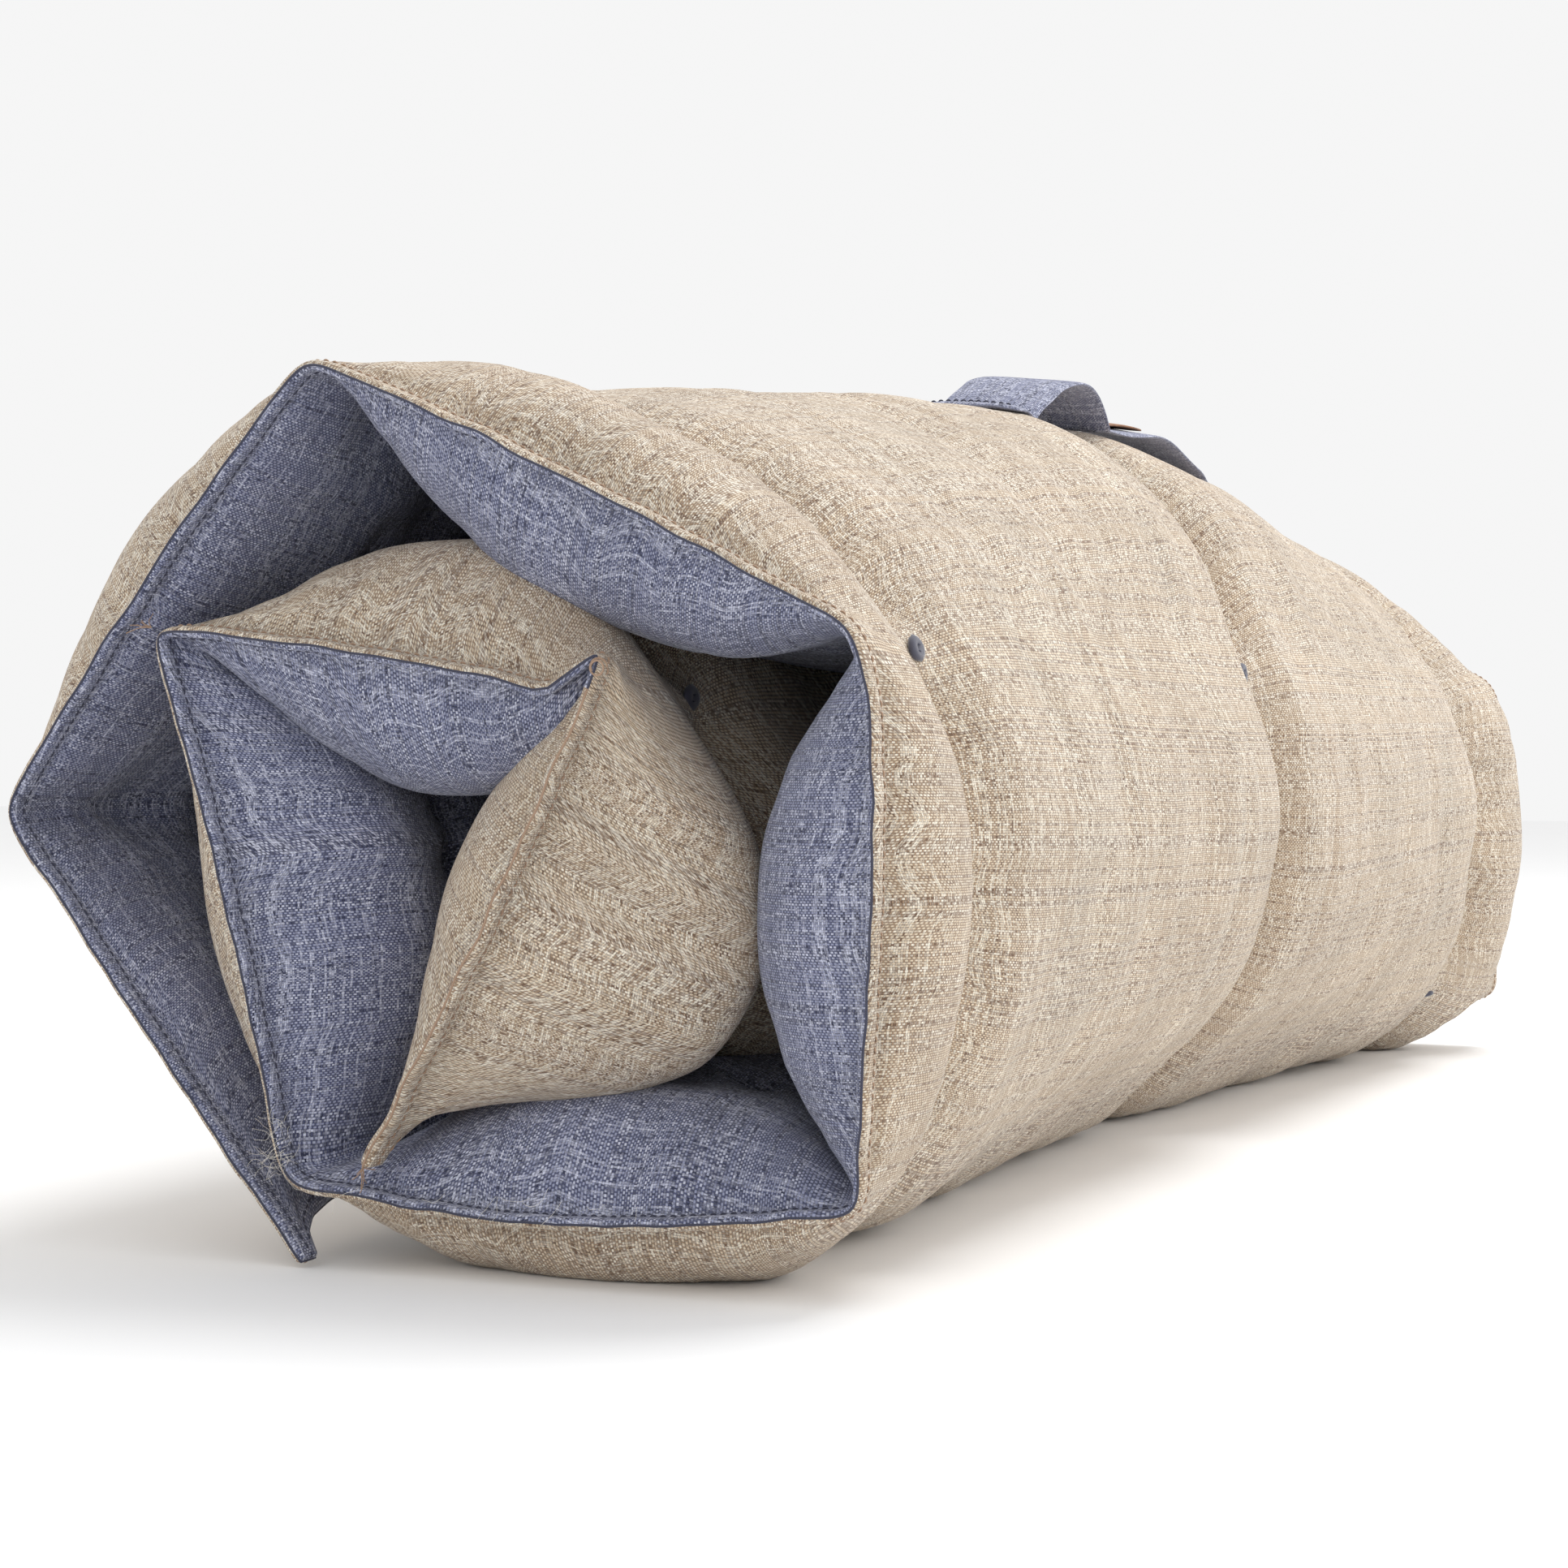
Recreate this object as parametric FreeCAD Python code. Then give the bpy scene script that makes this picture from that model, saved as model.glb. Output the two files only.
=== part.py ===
import FreeCAD, Part
import math
import os

# A wool-filled, tufted roll-up futon mattress, rolled up: eight quilted panels in one strip.
#
# Two cloths, sewn together round their edge, hold the wool. Between each pair of panels the strip
# folds along a straight line, where three tufts tie the two cloths together. All folds run along Y,
# so that is the roll's axis. Seen along +Y, the strip winds clockwise from its outer free end.

# ---- driving dimensions, in millimetres and degrees ----
ROLL_LENGTH = 900.0      # width of the open mattress, which is the length of the roll
PANEL_PITCH = 190.0      # distance between two folds, before each panel's own ease
CLOTH = 1.2              # thickness of a cover cloth with its turned-in edge
LIP = 8.0                # flat sewn edge outside the filling
EDGE_HALF = 2.2          # half the thickness of that edge
EDGE_CROWN = 0.3         # how far the edge itself is rounded
SEAM_GAP = 0.2           # between the two cloths where they lie on each other
FILL_CLEARANCE = 0.6     # between the wool and the cloth round it
FILL_SETBACK = 2.0       # from the inner end of the sewn edge to the wool
END_ROUND = 50.0         # length over which a panel swells from its edge to its full loft
THREAD_ROOM = 1.8        # room for a tie thread on each side of a fold's middle plane
TUFT_MARGIN = 80.0       # from the roll's end to the first row of tufts
TUFT_ROWS = 3
BUTTON_RADIUS = 4.5
BUTTON_HEIGHT = 3.0
BUTTON_SEAT = 5.2        # from the fold line to the underside of a button
TIE_RADIUS = 0.6
KNOT_RADIUS = 1.2
KNOT_DEPTH = 4.2         # from the fold line to the middle of a tie's knot
KNOT_SHAPE = ((-1.0, 0.5), (-0.5, 0.9), (0.5, 0.9), (1.0, 0.5))  # place and radius, as shares
STITCH_RADIUS = 0.4      # sewing thread
STITCH_CLEARANCE = 0.05  # between a row of stitches and the cloth under it
STITCH_INSET = 5.0       # from the cloth's edge to the row of stitches
STRAP_LENGTH = 310.0
STRAP_WIDTH = 46.0
STRAP_THICKNESS = 2.4
STRAP_TAB = 22.0         # sewn-down length at each end
STRAP_ARCH = 16.0        # rise of the strap's tall arch, where the hand goes
STRAP_LOW_ARCH = 9.0     # rise of its short arch
STRAP_DIP = 120.0        # from the strap's near end to where it dips between the arches
STRAP_CENTRE = 535.0     # from the roll's near end to the middle of the strap
STRAP_ASIDE = 36.0       # from the middle of its panel to the middle of the strap's width
STRAP_CLEARANCE = 0.5    # between the strap and the cloth that it is sewn to
STRAP_SEAM_INSET = 4.0   # from the strap's edges to the stitches that hold its ends
PATCH_START = 6.0        # from the strap's dip to the leather patch
PATCH_LENGTH = 56.0
PATCH_WIDTH = 34.0
PATCH_THICKNESS = 1.4
PATCH_CLEARANCE = 0.3    # between the patch and the strap's short arch under it

# One row per panel, from the outer free end: ease on the pitch, heading of the strip in the
# section, and the loft on its outer and inner side as a share of the panel's own width.
PANELS = [
    (-5.0, 129.5, 0.13, 0.07),
    (-3.0, 50.5, 0.21, 0.05),
    (14.0, -25.0, 0.22, 0.16),
    (-15.0, -88.0, 0.21, 0.20),
    (9.0, 180.0, 0.13, 0.14),
    (-6.0, 106.0, 0.10, 0.16),
    (-22.0, -2.5, 0.13, 0.15),
    (-4.0, -118.0, 0.24, 0.14),
]
RESTING_PANEL = 4        # index of the panel that lies on the ground
RESTING_FLAT = 0.45      # share of its width that the ground flattens
FLAT_KNEE = 0.75         # share of its rise that a flattened side has half way up to the flat
GROUND_SHAVE = 0.05      # taken off that flat, so that it is one plane
STRAP_PANEL = 2          # index of the panel that carries the strap

# How far a fold leaves its straight line half way along the roll, in x and z, as shares of the
# pitch. The bowed fold does so in one long curve, the others within the swelling of their panels.
FOLD_DRAW = {4: (-0.24, 0.0), 5: (0.06, 0.0), 6: (0.10, -0.05), 7: (-0.02, -0.05)}
BOWED_FOLD = 4
HEM_DRAW = 0.12          # a free end draws in between its corners, as a share of the pitch


def direction(degrees):
    """Unit vector in the section, as (x, z)."""
    return math.cos(math.radians(degrees)), math.sin(math.radians(degrees))


def width(index):
    return PANEL_PITCH + PANELS[index][0]


def end_folds():
    """The strip's corners in the section at the roll's end, counted from its outer free end."""
    points = [(0.0, 0.0)]
    for index in range(len(PANELS)):
        x, z = points[-1]
        ux, uz = direction(PANELS[index][1])
        points.append((x + ux * width(index), z + uz * width(index)))
    return points


END_FOLDS = end_folds()


def swell(y):
    """0 on the sewn lip at either end of the roll, 1 where a panel has its full loft."""
    inside = min(y, ROLL_LENGTH - y) - LIP
    if inside <= 0.0:
        return 0.0
    if inside >= END_ROUND:
        return 1.0
    return math.sqrt(1.0 - (1.0 - inside / END_ROUND) ** 2)


def fold_point(number, y):
    """Corner number of the strip in the section at y, with number 0 and 8 the free ends."""
    x, z = END_FOLDS[number]
    last = len(PANELS)
    if number in (0, last):
        ux, uz = direction(PANELS[0][1] if number == 0 else PANELS[-1][1])
        inward = HEM_DRAW * PANEL_PITCH * swell(y) * (1.0 if number == 0 else -1.0)
        return x + ux * inward, z + uz * inward
    dx, dz = FOLD_DRAW.get(number, (0.0, 0.0))
    bow = math.sin(math.pi * y / ROLL_LENGTH) if number == BOWED_FOLD else swell(y)
    return x + dx * PANEL_PITCH * bow, z + dz * PANEL_PITCH * bow


def section_frame(index, y):
    """Start point, unit vector along the panel, outward unit vector and width, at y."""
    x0, z0 = fold_point(index, y)
    x1, z1 = fold_point(index + 1, y)
    span = math.hypot(x1 - x0, z1 - z0)
    ux, uz = (x1 - x0) / span, (z1 - z0) / span
    return (x0, z0), (ux, uz), (-uz, ux), span


def place(index, y, s, n):
    """The point at distance s along a panel and n outwards from its middle."""
    (x0, z0), (ux, uz), (nx, nz), span = section_frame(index, y)
    return FreeCAD.Vector(x0 + ux * s + nx * n, y, z0 + uz * s + nz * n)


def fold_turn(number, y):
    """How far the strip turns at a fold, in degrees."""
    before = section_frame(number - 1, y)[1]
    after = section_frame(number, y)[1]
    cosine = before[0] * after[0] + before[1] * after[1]
    return math.degrees(math.acos(max(-1.0, min(1.0, cosine))))


def fold_gap(number):
    """From the fold line to a panel's edge, so that two edges leave room for a tie thread."""
    if number in (0, len(PANELS)):
        return 0.0
    sharpest = max(fold_turn(number, 0.0), fold_turn(number, ROLL_LENGTH / 2))
    half = math.radians((180.0 - sharpest) / 2)
    return (THREAD_ROOM + EDGE_HALF * math.cos(half)) / math.sin(half)


def lip_at(number):
    """Width of the flat edge beside a fold, or at a free end."""
    return LIP if number in (0, len(PANELS)) else EDGE_HALF


def stations(left_out=0):
    """Where the sections are taken along the roll, with some left out at each of its ends."""
    shares = (0.0, 0.06, 0.25, 0.55, 1.0)
    rising = [LIP + share * END_ROUND for share in shares]
    between = (rising[-1] + ROLL_LENGTH / 2) / 2
    near = ([0.0] + rising + [between])[left_out:]
    return near + [ROLL_LENGTH / 2] + [ROLL_LENGTH - y for y in reversed(near)]


def crown(index, y, side, start, end, edge, height, flat):
    """Edges of a swollen side of a panel, from start to end: one arc, or arc, flat and arc."""
    def at(s, n):
        return place(index, y, s, side * n)

    middle = (start + end) / 2
    if not flat:
        return [Part.Arc(at(start, edge), at(middle, height), at(end, edge)).toShape()]
    reach = (end - start) * flat / 2
    left, right = middle - reach, middle + reach
    knee = edge + FLAT_KNEE * (height - edge)
    return [
        Part.Arc(at(start, edge), at((start + left) / 2, knee), at(left, height)).toShape(),
        Part.makeLine(at(left, height), at(right, height)),
        Part.Arc(at(right, height), at((right + end) / 2, knee), at(end, edge)).toShape(),
    ]


def side_flat(index, side):
    return RESTING_FLAT if index == RESTING_PANEL and side > 0 else 0.0


def full_height(index, y, side):
    """Height of a panel's cloth above its middle, at the crown."""
    loft = PANELS[index][2] if side > 0 else PANELS[index][3]
    return EDGE_HALF + EDGE_CROWN + loft * width(index) * swell(y)


def reverse_edges(edges):
    return [Part.Edge(edge.reversed()) for edge in reversed(edges)]


def cover_section(index, y, side):
    """Closed outline of the cloth on one side of a panel."""
    span = section_frame(index, y)[3]
    start, end = fold_gap(index), span - fold_gap(index + 1)
    lip_start, lip_end = start + lip_at(index), end - lip_at(index + 1)
    seam = SEAM_GAP / 2
    inside = EDGE_HALF - CLOTH
    height = full_height(index, y, side)
    flat = side_flat(index, side)

    def at(s, n):
        return place(index, y, s, side * n)

    outer = crown(index, y, side, lip_start, lip_end, EDGE_HALF, height, flat)
    inner = crown(index, y, side, lip_start, lip_end, inside, height - CLOTH, flat)
    edges = [Part.makeLine(at(start, seam), at(start, EDGE_HALF))]
    edges += [Part.makeLine(at(start, EDGE_HALF), at(lip_start, EDGE_HALF))]
    edges += outer
    edges += [Part.makeLine(at(lip_end, EDGE_HALF), at(end, EDGE_HALF))]
    edges += [Part.makeLine(at(end, EDGE_HALF), at(end, seam))]
    edges += [Part.makeLine(at(end, seam), at(end - CLOTH, seam))]
    edges += [Part.makeLine(at(end - CLOTH, seam), at(end - CLOTH, inside))]
    edges += [Part.makeLine(at(end - CLOTH, inside), at(lip_end, inside))]
    edges += reverse_edges(inner)
    edges += [Part.makeLine(at(lip_start, inside), at(start + CLOTH, inside))]
    edges += [Part.makeLine(at(start + CLOTH, inside), at(start + CLOTH, seam))]
    edges += [Part.makeLine(at(start + CLOTH, seam), at(start, seam))]
    return Part.Wire(edges)


def filling_section(index, y):
    """Closed outline of the wool inside a panel."""
    span = section_frame(index, y)[3]
    start = fold_gap(index) + lip_at(index) + FILL_SETBACK
    end = span - fold_gap(index + 1) - lip_at(index + 1) - FILL_SETBACK
    skin = CLOTH + FILL_CLEARANCE
    edge = EDGE_HALF - skin
    outer = crown(index, y, 1, start, end, edge, full_height(index, y, 1) - skin, side_flat(index, 1))
    inner = crown(index, y, -1, start, end, edge, full_height(index, y, -1) - skin, 0.0)
    edges = [Part.makeLine(place(index, y, start, -edge), place(index, y, start, edge))]
    edges += outer
    edges += [Part.makeLine(place(index, y, end, edge), place(index, y, end, -edge))]
    edges += reverse_edges(inner)
    return Part.Wire(edges)


def ground():
    """A block under the roll, whose top shaves the resting panel's flat to one plane."""
    flat = END_FOLDS[RESTING_PANEL][1] - full_height(RESTING_PANEL, ROLL_LENGTH / 2, 1)
    size = 4 * PANEL_PITCH
    corner = FreeCAD.Vector(END_FOLDS[RESTING_PANEL][0] - size / 2, 0, flat + GROUND_SHAVE - size)
    return Part.makeBox(size, ROLL_LENGTH, size, corner)


def cover(index, side):
    cloth = Part.makeLoft([cover_section(index, y, side) for y in stations()], True, True)
    return cloth.cut(ground()) if side_flat(index, side) else cloth


def filling(index):
    """The wool, which starts inside the sewn lip and the first rise of the cloth."""
    return Part.makeLoft([filling_section(index, y) for y in stations(2)], True, True)


def thread_run(points):
    """A straight or kinked run of sewing thread, as one cylinder per stretch."""
    pieces = []
    for first, second in zip(points, points[1:]):
        run = second - first
        pieces.append(Part.makeCylinder(STITCH_RADIUS, run.Length, first, run))
    return pieces


def edge_topstitch(index):
    """The two rows of stitches that close a panel's ends, on the inner cloth."""
    rise = -(EDGE_HALF + EDGE_CROWN + STITCH_CLEARANCE + STITCH_RADIUS)
    rows = []
    for y in (STITCH_INSET, ROLL_LENGTH - STITCH_INSET):
        span = section_frame(index, y)[3]
        start = fold_gap(index) + lip_at(index)
        end = span - fold_gap(index + 1) - lip_at(index + 1)
        rows += thread_run([place(index, y, start, rise), place(index, y, end, rise)])
    return Part.makeCompound(rows)


def hem_topstitch(number):
    """The row of stitches along a free end of the strip, in runs that follow the drawn-in edge."""
    rise = -(EDGE_HALF + STITCH_CLEARANCE + STITCH_RADIUS)
    index = 0 if number == 0 else len(PANELS) - 1
    break_off = 2 * STITCH_RADIUS
    pieces = []
    marks = stations(1)
    for first, second in zip(marks, marks[1:]):
        ends = []
        for y in (first, second):
            span = section_frame(index, y)[3]
            s = STITCH_INSET if number == 0 else span - STITCH_INSET
            ends.append(place(index, y, s, rise))
        step = (ends[1] - ends[0]).normalize() * break_off
        pieces += thread_run([ends[0] + step, ends[1] - step])
    return Part.makeCompound(pieces)


def tuft_rows():
    spacing = (ROLL_LENGTH - 2 * TUFT_MARGIN) / (TUFT_ROWS - 1)
    return [TUFT_MARGIN + row * spacing for row in range(TUFT_ROWS)]


def tuft_axis(number, y):
    """Fold point and outward direction of a tuft: it leans a quarter of the fold's turn."""
    x, z = fold_point(number, y)
    nx, nz = section_frame(number, y)[2]
    lean = math.radians(fold_turn(number, y) / 4)
    ax = nx * math.cos(lean) - nz * math.sin(lean)
    az = nx * math.sin(lean) + nz * math.cos(lean)
    return FreeCAD.Vector(x, y, z), FreeCAD.Vector(ax, 0, az)


def tuft_buttons(number):
    buttons = []
    for y in tuft_rows():
        point, outward = tuft_axis(number, y)
        seat = point + outward * BUTTON_SEAT
        disc = Part.makeCylinder(BUTTON_RADIUS, BUTTON_HEIGHT, seat, outward)
        rim = [edge for edge in disc.Edges if edge.Curve.TypeId == "Part::GeomCircle"]
        buttons.append(disc.makeFillet(BUTTON_HEIGHT / 3, rim))
    return Part.makeCompound(buttons)


def thread_section(centre, heading, radius):
    """An octagon square to a tie thread that runs in the section."""
    lift = FreeCAD.Vector(0, radius, 0)
    across = heading.cross(lift)
    turns = [math.radians(45 * corner) for corner in range(8)]
    corners = [centre + across * math.cos(turn) + lift * math.sin(turn) for turn in turns]
    return Part.makePolygon(corners + corners[:1])


def tie_threads(number):
    """A thread through the fold at each tuft, with its knot on the inner side."""
    ties = []
    for y in tuft_rows():
        point, outward = tuft_axis(number, y)
        middle = section_frame(number, y)[2]
        before = section_frame(number - 1, y)[2]
        bisector = FreeCAD.Vector(middle[0] + before[0], 0, middle[1] + before[1]).normalize()
        knot = point - bisector * KNOT_DEPTH
        sections = []
        for place_share, radius_share in KNOT_SHAPE:
            centre = knot + bisector * (place_share * KNOT_RADIUS)
            sections.append(thread_section(centre, bisector, radius_share * KNOT_RADIUS))
        sections.append(thread_section(point, (bisector + outward).normalize(), TIE_RADIUS))
        sections.append(thread_section(point + outward * BUTTON_SEAT, outward, TIE_RADIUS))
        ties.append(Part.makeLoft(sections, True, True))
    return Part.makeCompound(ties)


def arc_radius(half, rise):
    """Radius of the arc that rises this far over a chord twice this half."""
    return (half ** 2 + rise ** 2) / (2 * rise)


def strap_frame():
    """Where the strap's near end meets the cloth: middle of its width, along it and outwards."""
    index = STRAP_PANEL
    y = STRAP_CENTRE - STRAP_LENGTH / 2
    start, along, outward, span = section_frame(index, y)
    lip_start = fold_gap(index) + lip_at(index)
    lip_end = span - fold_gap(index + 1) - lip_at(index + 1)
    height = full_height(index, ROLL_LENGTH / 2, 1)
    radius = arc_radius((lip_end - lip_start) / 2, height - EDGE_HALF)
    lean = -math.asin(STRAP_ASIDE / radius)
    reach = radius + STRAP_CLEARANCE
    aside = (lip_start + lip_end) / 2 + reach * math.sin(lean)
    origin = place(index, y, aside, height - radius + reach * math.cos(lean))
    panel_along = FreeCAD.Vector(along[0], 0, along[1])
    panel_out = FreeCAD.Vector(outward[0], 0, outward[1])
    across = panel_along * math.cos(lean) - panel_out * math.sin(lean)
    out = panel_along * math.sin(lean) + panel_out * math.cos(lean)
    return origin, across, out


def strap_point(y, n):
    """The point on the middle line of the strap, y from its near end and n above the cloth."""
    origin, across, outward = strap_frame()
    return origin + FreeCAD.Vector(0, y, 0) + outward * n


def strap_line(offset):
    """The strap's side view, as a list of edges at a height above its underside."""
    def at(y, n):
        return strap_point(y, n + offset)

    dip = STRAP_DIP
    far = STRAP_LENGTH - STRAP_TAB
    first = (STRAP_TAB + dip) / 2
    second = (dip + far) / 2
    return [
        Part.makeLine(at(0, 0), at(STRAP_TAB, 0)),
        Part.Arc(at(STRAP_TAB, 0), at(first, STRAP_ARCH), at(dip, 0)).toShape(),
        Part.Arc(at(dip, 0), at(second, STRAP_LOW_ARCH), at(far, 0)).toShape(),
        Part.makeLine(at(far, 0), at(STRAP_LENGTH, 0)),
    ]


def strap_across(edges, width_across):
    """A closed side view, extruded evenly to both sides of the strap's middle line."""
    across = strap_frame()[1]
    face = Part.Face(Part.Wire(edges)).translated(across * (-width_across / 2))
    return face.extrude(across * width_across)


def carry_strap():
    under, over = strap_line(0.0), strap_line(STRAP_THICKNESS)
    near = Part.makeLine(over[0].Vertexes[0].Point, under[0].Vertexes[0].Point)
    far = Part.makeLine(under[-1].Vertexes[-1].Point, over[-1].Vertexes[-1].Point)
    return strap_across([near] + under + [far] + reverse_edges(over), STRAP_WIDTH)


def strap_stitching():
    """Two rows of stitches across each sewn-down end."""
    thread = 2 * STITCH_RADIUS
    rows = []
    for start in (STRAP_SEAM_INSET, STRAP_TAB - STRAP_SEAM_INSET - thread):
        for y in (start, STRAP_LENGTH - start - thread):
            corners = [strap_point(y, STRAP_THICKNESS), strap_point(y + thread, STRAP_THICKNESS),
                       strap_point(y + thread, STRAP_THICKNESS + thread),
                       strap_point(y, STRAP_THICKNESS + thread)]
            outline = Part.makePolygon(corners + corners[:1])
            rows.append(strap_across(outline.Edges, STRAP_WIDTH - 2 * STRAP_SEAM_INSET))
    return Part.makeCompound(rows)


def leather_patch():
    """A plain leather patch that follows the strap's short arch, just past the dip."""
    half = (STRAP_LENGTH - STRAP_TAB - STRAP_DIP) / 2
    radius = arc_radius(half, STRAP_LOW_ARCH)
    middle = STRAP_DIP + half
    start = STRAP_DIP + PATCH_START
    places = (start, start + PATCH_LENGTH / 2, start + PATCH_LENGTH)
    faces = []
    for level in (PATCH_CLEARANCE, PATCH_CLEARANCE + PATCH_THICKNESS):
        points = []
        for y in places:
            rise = math.sqrt(radius ** 2 - (y - middle) ** 2) - radius + STRAP_LOW_ARCH
            points.append(strap_point(y, STRAP_THICKNESS + level + rise))
        faces.append(points)
    under, over = faces
    edges = [Part.Arc(*under).toShape(), Part.makeLine(under[2], over[2]),
             Part.Arc(*reversed(over)).toShape(), Part.makeLine(over[0], under[0])]
    return strap_across(edges, PATCH_WIDTH)


def build_nodes():
    nodes = {}
    for index in range(len(PANELS)):
        name = "panel_%d" % (index + 1)
        nodes[name + "_outer_cover"] = cover(index, 1)
        nodes[name + "_inner_cover"] = cover(index, -1)
        nodes[name + "_wool_filling"] = filling(index)
        nodes[name + "_edge_topstitch"] = edge_topstitch(index)
    for number in range(1, len(PANELS)):
        nodes["fold_%d_tuft_buttons" % number] = tuft_buttons(number)
        nodes["fold_%d_tie_threads" % number] = tie_threads(number)
    nodes["outer_hem_topstitch"] = hem_topstitch(0)
    nodes["inner_hem_topstitch"] = hem_topstitch(len(PANELS))
    nodes["carry_strap"] = carry_strap()
    nodes["strap_stitching"] = strap_stitching()
    nodes["leather_patch"] = leather_patch()
    return nodes


NODES = build_nodes()
WHOLE = Part.makeCompound(list(NODES.values())).optimalBoundingBox(False, False)
SHIFT = FreeCAD.Vector(-WHOLE.Center.x, -ROLL_LENGTH / 2, -WHOLE.ZMin)

os.makedirs("parts", exist_ok=True)
for node, shape in NODES.items():
    shape.translate(SHIFT)
    shape.exportStep("parts/%s.step" % node)

print("box", round(WHOLE.XLength, 2), round(WHOLE.YLength, 2), round(WHOLE.ZLength, 2))
for fold in range(len(PANELS) + 1):
    x, z = END_FOLDS[fold]
    turn = fold_turn(fold, 0.0) if 0 < fold < len(PANELS) else 0.0
    print("fold", fold, "x", round(x + SHIFT.x, 2), "z", round(z + SHIFT.z, 2), "turn", round(turn, 2))
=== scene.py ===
import math
import bpy
import numpy as np
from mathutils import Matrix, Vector


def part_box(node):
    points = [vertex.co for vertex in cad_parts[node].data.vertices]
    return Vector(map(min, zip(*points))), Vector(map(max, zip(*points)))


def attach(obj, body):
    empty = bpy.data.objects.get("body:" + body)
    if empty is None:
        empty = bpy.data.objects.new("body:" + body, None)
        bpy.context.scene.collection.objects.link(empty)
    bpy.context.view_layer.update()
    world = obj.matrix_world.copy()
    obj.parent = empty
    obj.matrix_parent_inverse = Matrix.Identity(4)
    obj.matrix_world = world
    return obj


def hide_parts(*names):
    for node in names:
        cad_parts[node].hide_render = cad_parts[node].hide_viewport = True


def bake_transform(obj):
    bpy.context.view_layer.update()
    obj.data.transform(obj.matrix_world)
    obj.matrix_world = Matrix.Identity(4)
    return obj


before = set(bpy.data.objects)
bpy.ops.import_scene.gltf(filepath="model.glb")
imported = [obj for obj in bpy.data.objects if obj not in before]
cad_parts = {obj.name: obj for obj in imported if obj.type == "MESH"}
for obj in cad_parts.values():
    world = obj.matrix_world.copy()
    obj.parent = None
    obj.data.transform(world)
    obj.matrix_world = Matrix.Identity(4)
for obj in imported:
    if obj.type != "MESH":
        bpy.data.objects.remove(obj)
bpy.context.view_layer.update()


# ---- The strip -------------------------------------------------------------------------------
# One long mattress of eight panels, which turns at seven fold lines. Its middle layer is read
# from the two covers of each panel, in the sections where they were lofted.
PANELS = 8
FOLDS = range(1, PANELS)
SECTION_CORNERS = 40
SAME_PLACE = 0.0002

cover_points = {}
for panel in range(1, PANELS + 1):
    for side in ("outer", "inner"):
        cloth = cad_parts["panel_%d_%s_cover" % (panel, side)]
        cover_points[panel, side] = np.array([vertex.co for vertex in cloth.data.vertices])


def lofted_places(points):
    places, counts = np.unique(np.round(points[:, 1], 4), return_counts=True)
    return set(places[counts >= SECTION_CORNERS].tolist())


sections = sorted(set.intersection(*[lofted_places(points) for points in cover_points.values()]))
ROLL_HALF = sections[-1]


def section_corners(panel, side, y):
    points = cover_points[panel, side]
    chosen = points[np.abs(points[:, 1] - y) < SAME_PLACE / 2]
    return np.unique(np.round(chosen[:, [0, 2]], 5), axis=0)


def middle_line(panel, y):
    """Start, end and loft on either side of a panel's middle layer in one section."""
    outer, inner = section_corners(panel, "outer", y), section_corners(panel, "inner", y)
    both = np.vstack((outer, inner))
    apart = np.linalg.norm(both[:, None] - both[None], axis=2)
    first, last = np.unravel_index(apart.argmax(), apart.shape)
    along = (both[last] - both[first]) / apart.max()
    reach = both @ along
    start = both[reach < reach.min() + SAME_PLACE].mean(axis=0)
    end = both[reach > reach.max() - SAME_PLACE].mean(axis=0)
    along = (end - start) / np.linalg.norm(end - start)
    outward = np.array((-along[1], along[0]))
    if (outer.mean(axis=0) - start) @ outward < 0:
        start, end, outward = end, start, -outward
    return start, end, ((outer - start) @ outward).max(), ((start - inner) @ outward).max()


def crossing(a, b, c, d):
    """Where the line through a and b meets the line through c and d."""
    first, second = b - a, d - c
    turn = first[0] * second[1] - first[1] * second[0]
    share = ((c - a)[0] * second[1] - (c - a)[1] * second[0]) / turn
    return a + share * first


fold_sections = np.zeros((PANELS + 1, len(sections), 2))
loft = {"outer": np.zeros(PANELS), "inner": np.zeros(PANELS)}
for number, y in enumerate(sections):
    lines = [middle_line(panel, y) for panel in range(1, PANELS + 1)]
    fold_sections[0, number] = lines[0][0]
    fold_sections[PANELS, number] = lines[-1][1]
    for fold in FOLDS:
        before, after = lines[fold - 1], lines[fold]
        fold_sections[fold, number] = crossing(before[0], before[1], after[0], after[1])
    for panel in range(PANELS):
        loft["outer"][panel] = max(loft["outer"][panel], lines[panel][2])
        loft["inner"][panel] = max(loft["inner"][panel], lines[panel][3])


def smooth_step(value, start, end):
    share = np.clip((value - start) / (end - start), 0.0, 1.0)
    return share * share * (3.0 - 2.0 * share)


LIP = 0.008               # flat sewn edge at either end of the roll
END_ROUND = 0.042         # length over which a pad swells from its lip to its full loft
LIP_ROWS = (0.0, 0.0004, 0.001, 0.0019, 0.0032, 0.0048, 0.0064, LIP)
FIRST_ROW_STEP = 0.0011
LAST_ROW_STEP = 0.0045
ROW_GROWTH = 1.07

from_end = list(LIP_ROWS)
step = FIRST_ROW_STEP
while from_end[-1] + step < ROLL_HALF - LAST_ROW_STEP / 2:
    from_end.append(from_end[-1] + step)
    step = min(step * ROW_GROWTH, LAST_ROW_STEP)
near_rows = [distance - ROLL_HALF for distance in from_end]
rows = np.array(near_rows + [0.0] + [-y for y in reversed(near_rows)])
end_distance = ROLL_HALF - np.abs(rows)

LINE_SOFTENING = 0.016    # how far the cloth rounds off the corners of a drawn-in fold line
BELL_POINTS = 97
bell_places = np.linspace(-3, 3, BELL_POINTS) * LINE_SOFTENING
bell = np.exp(-0.5 * (bell_places / LINE_SOFTENING) ** 2)


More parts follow.
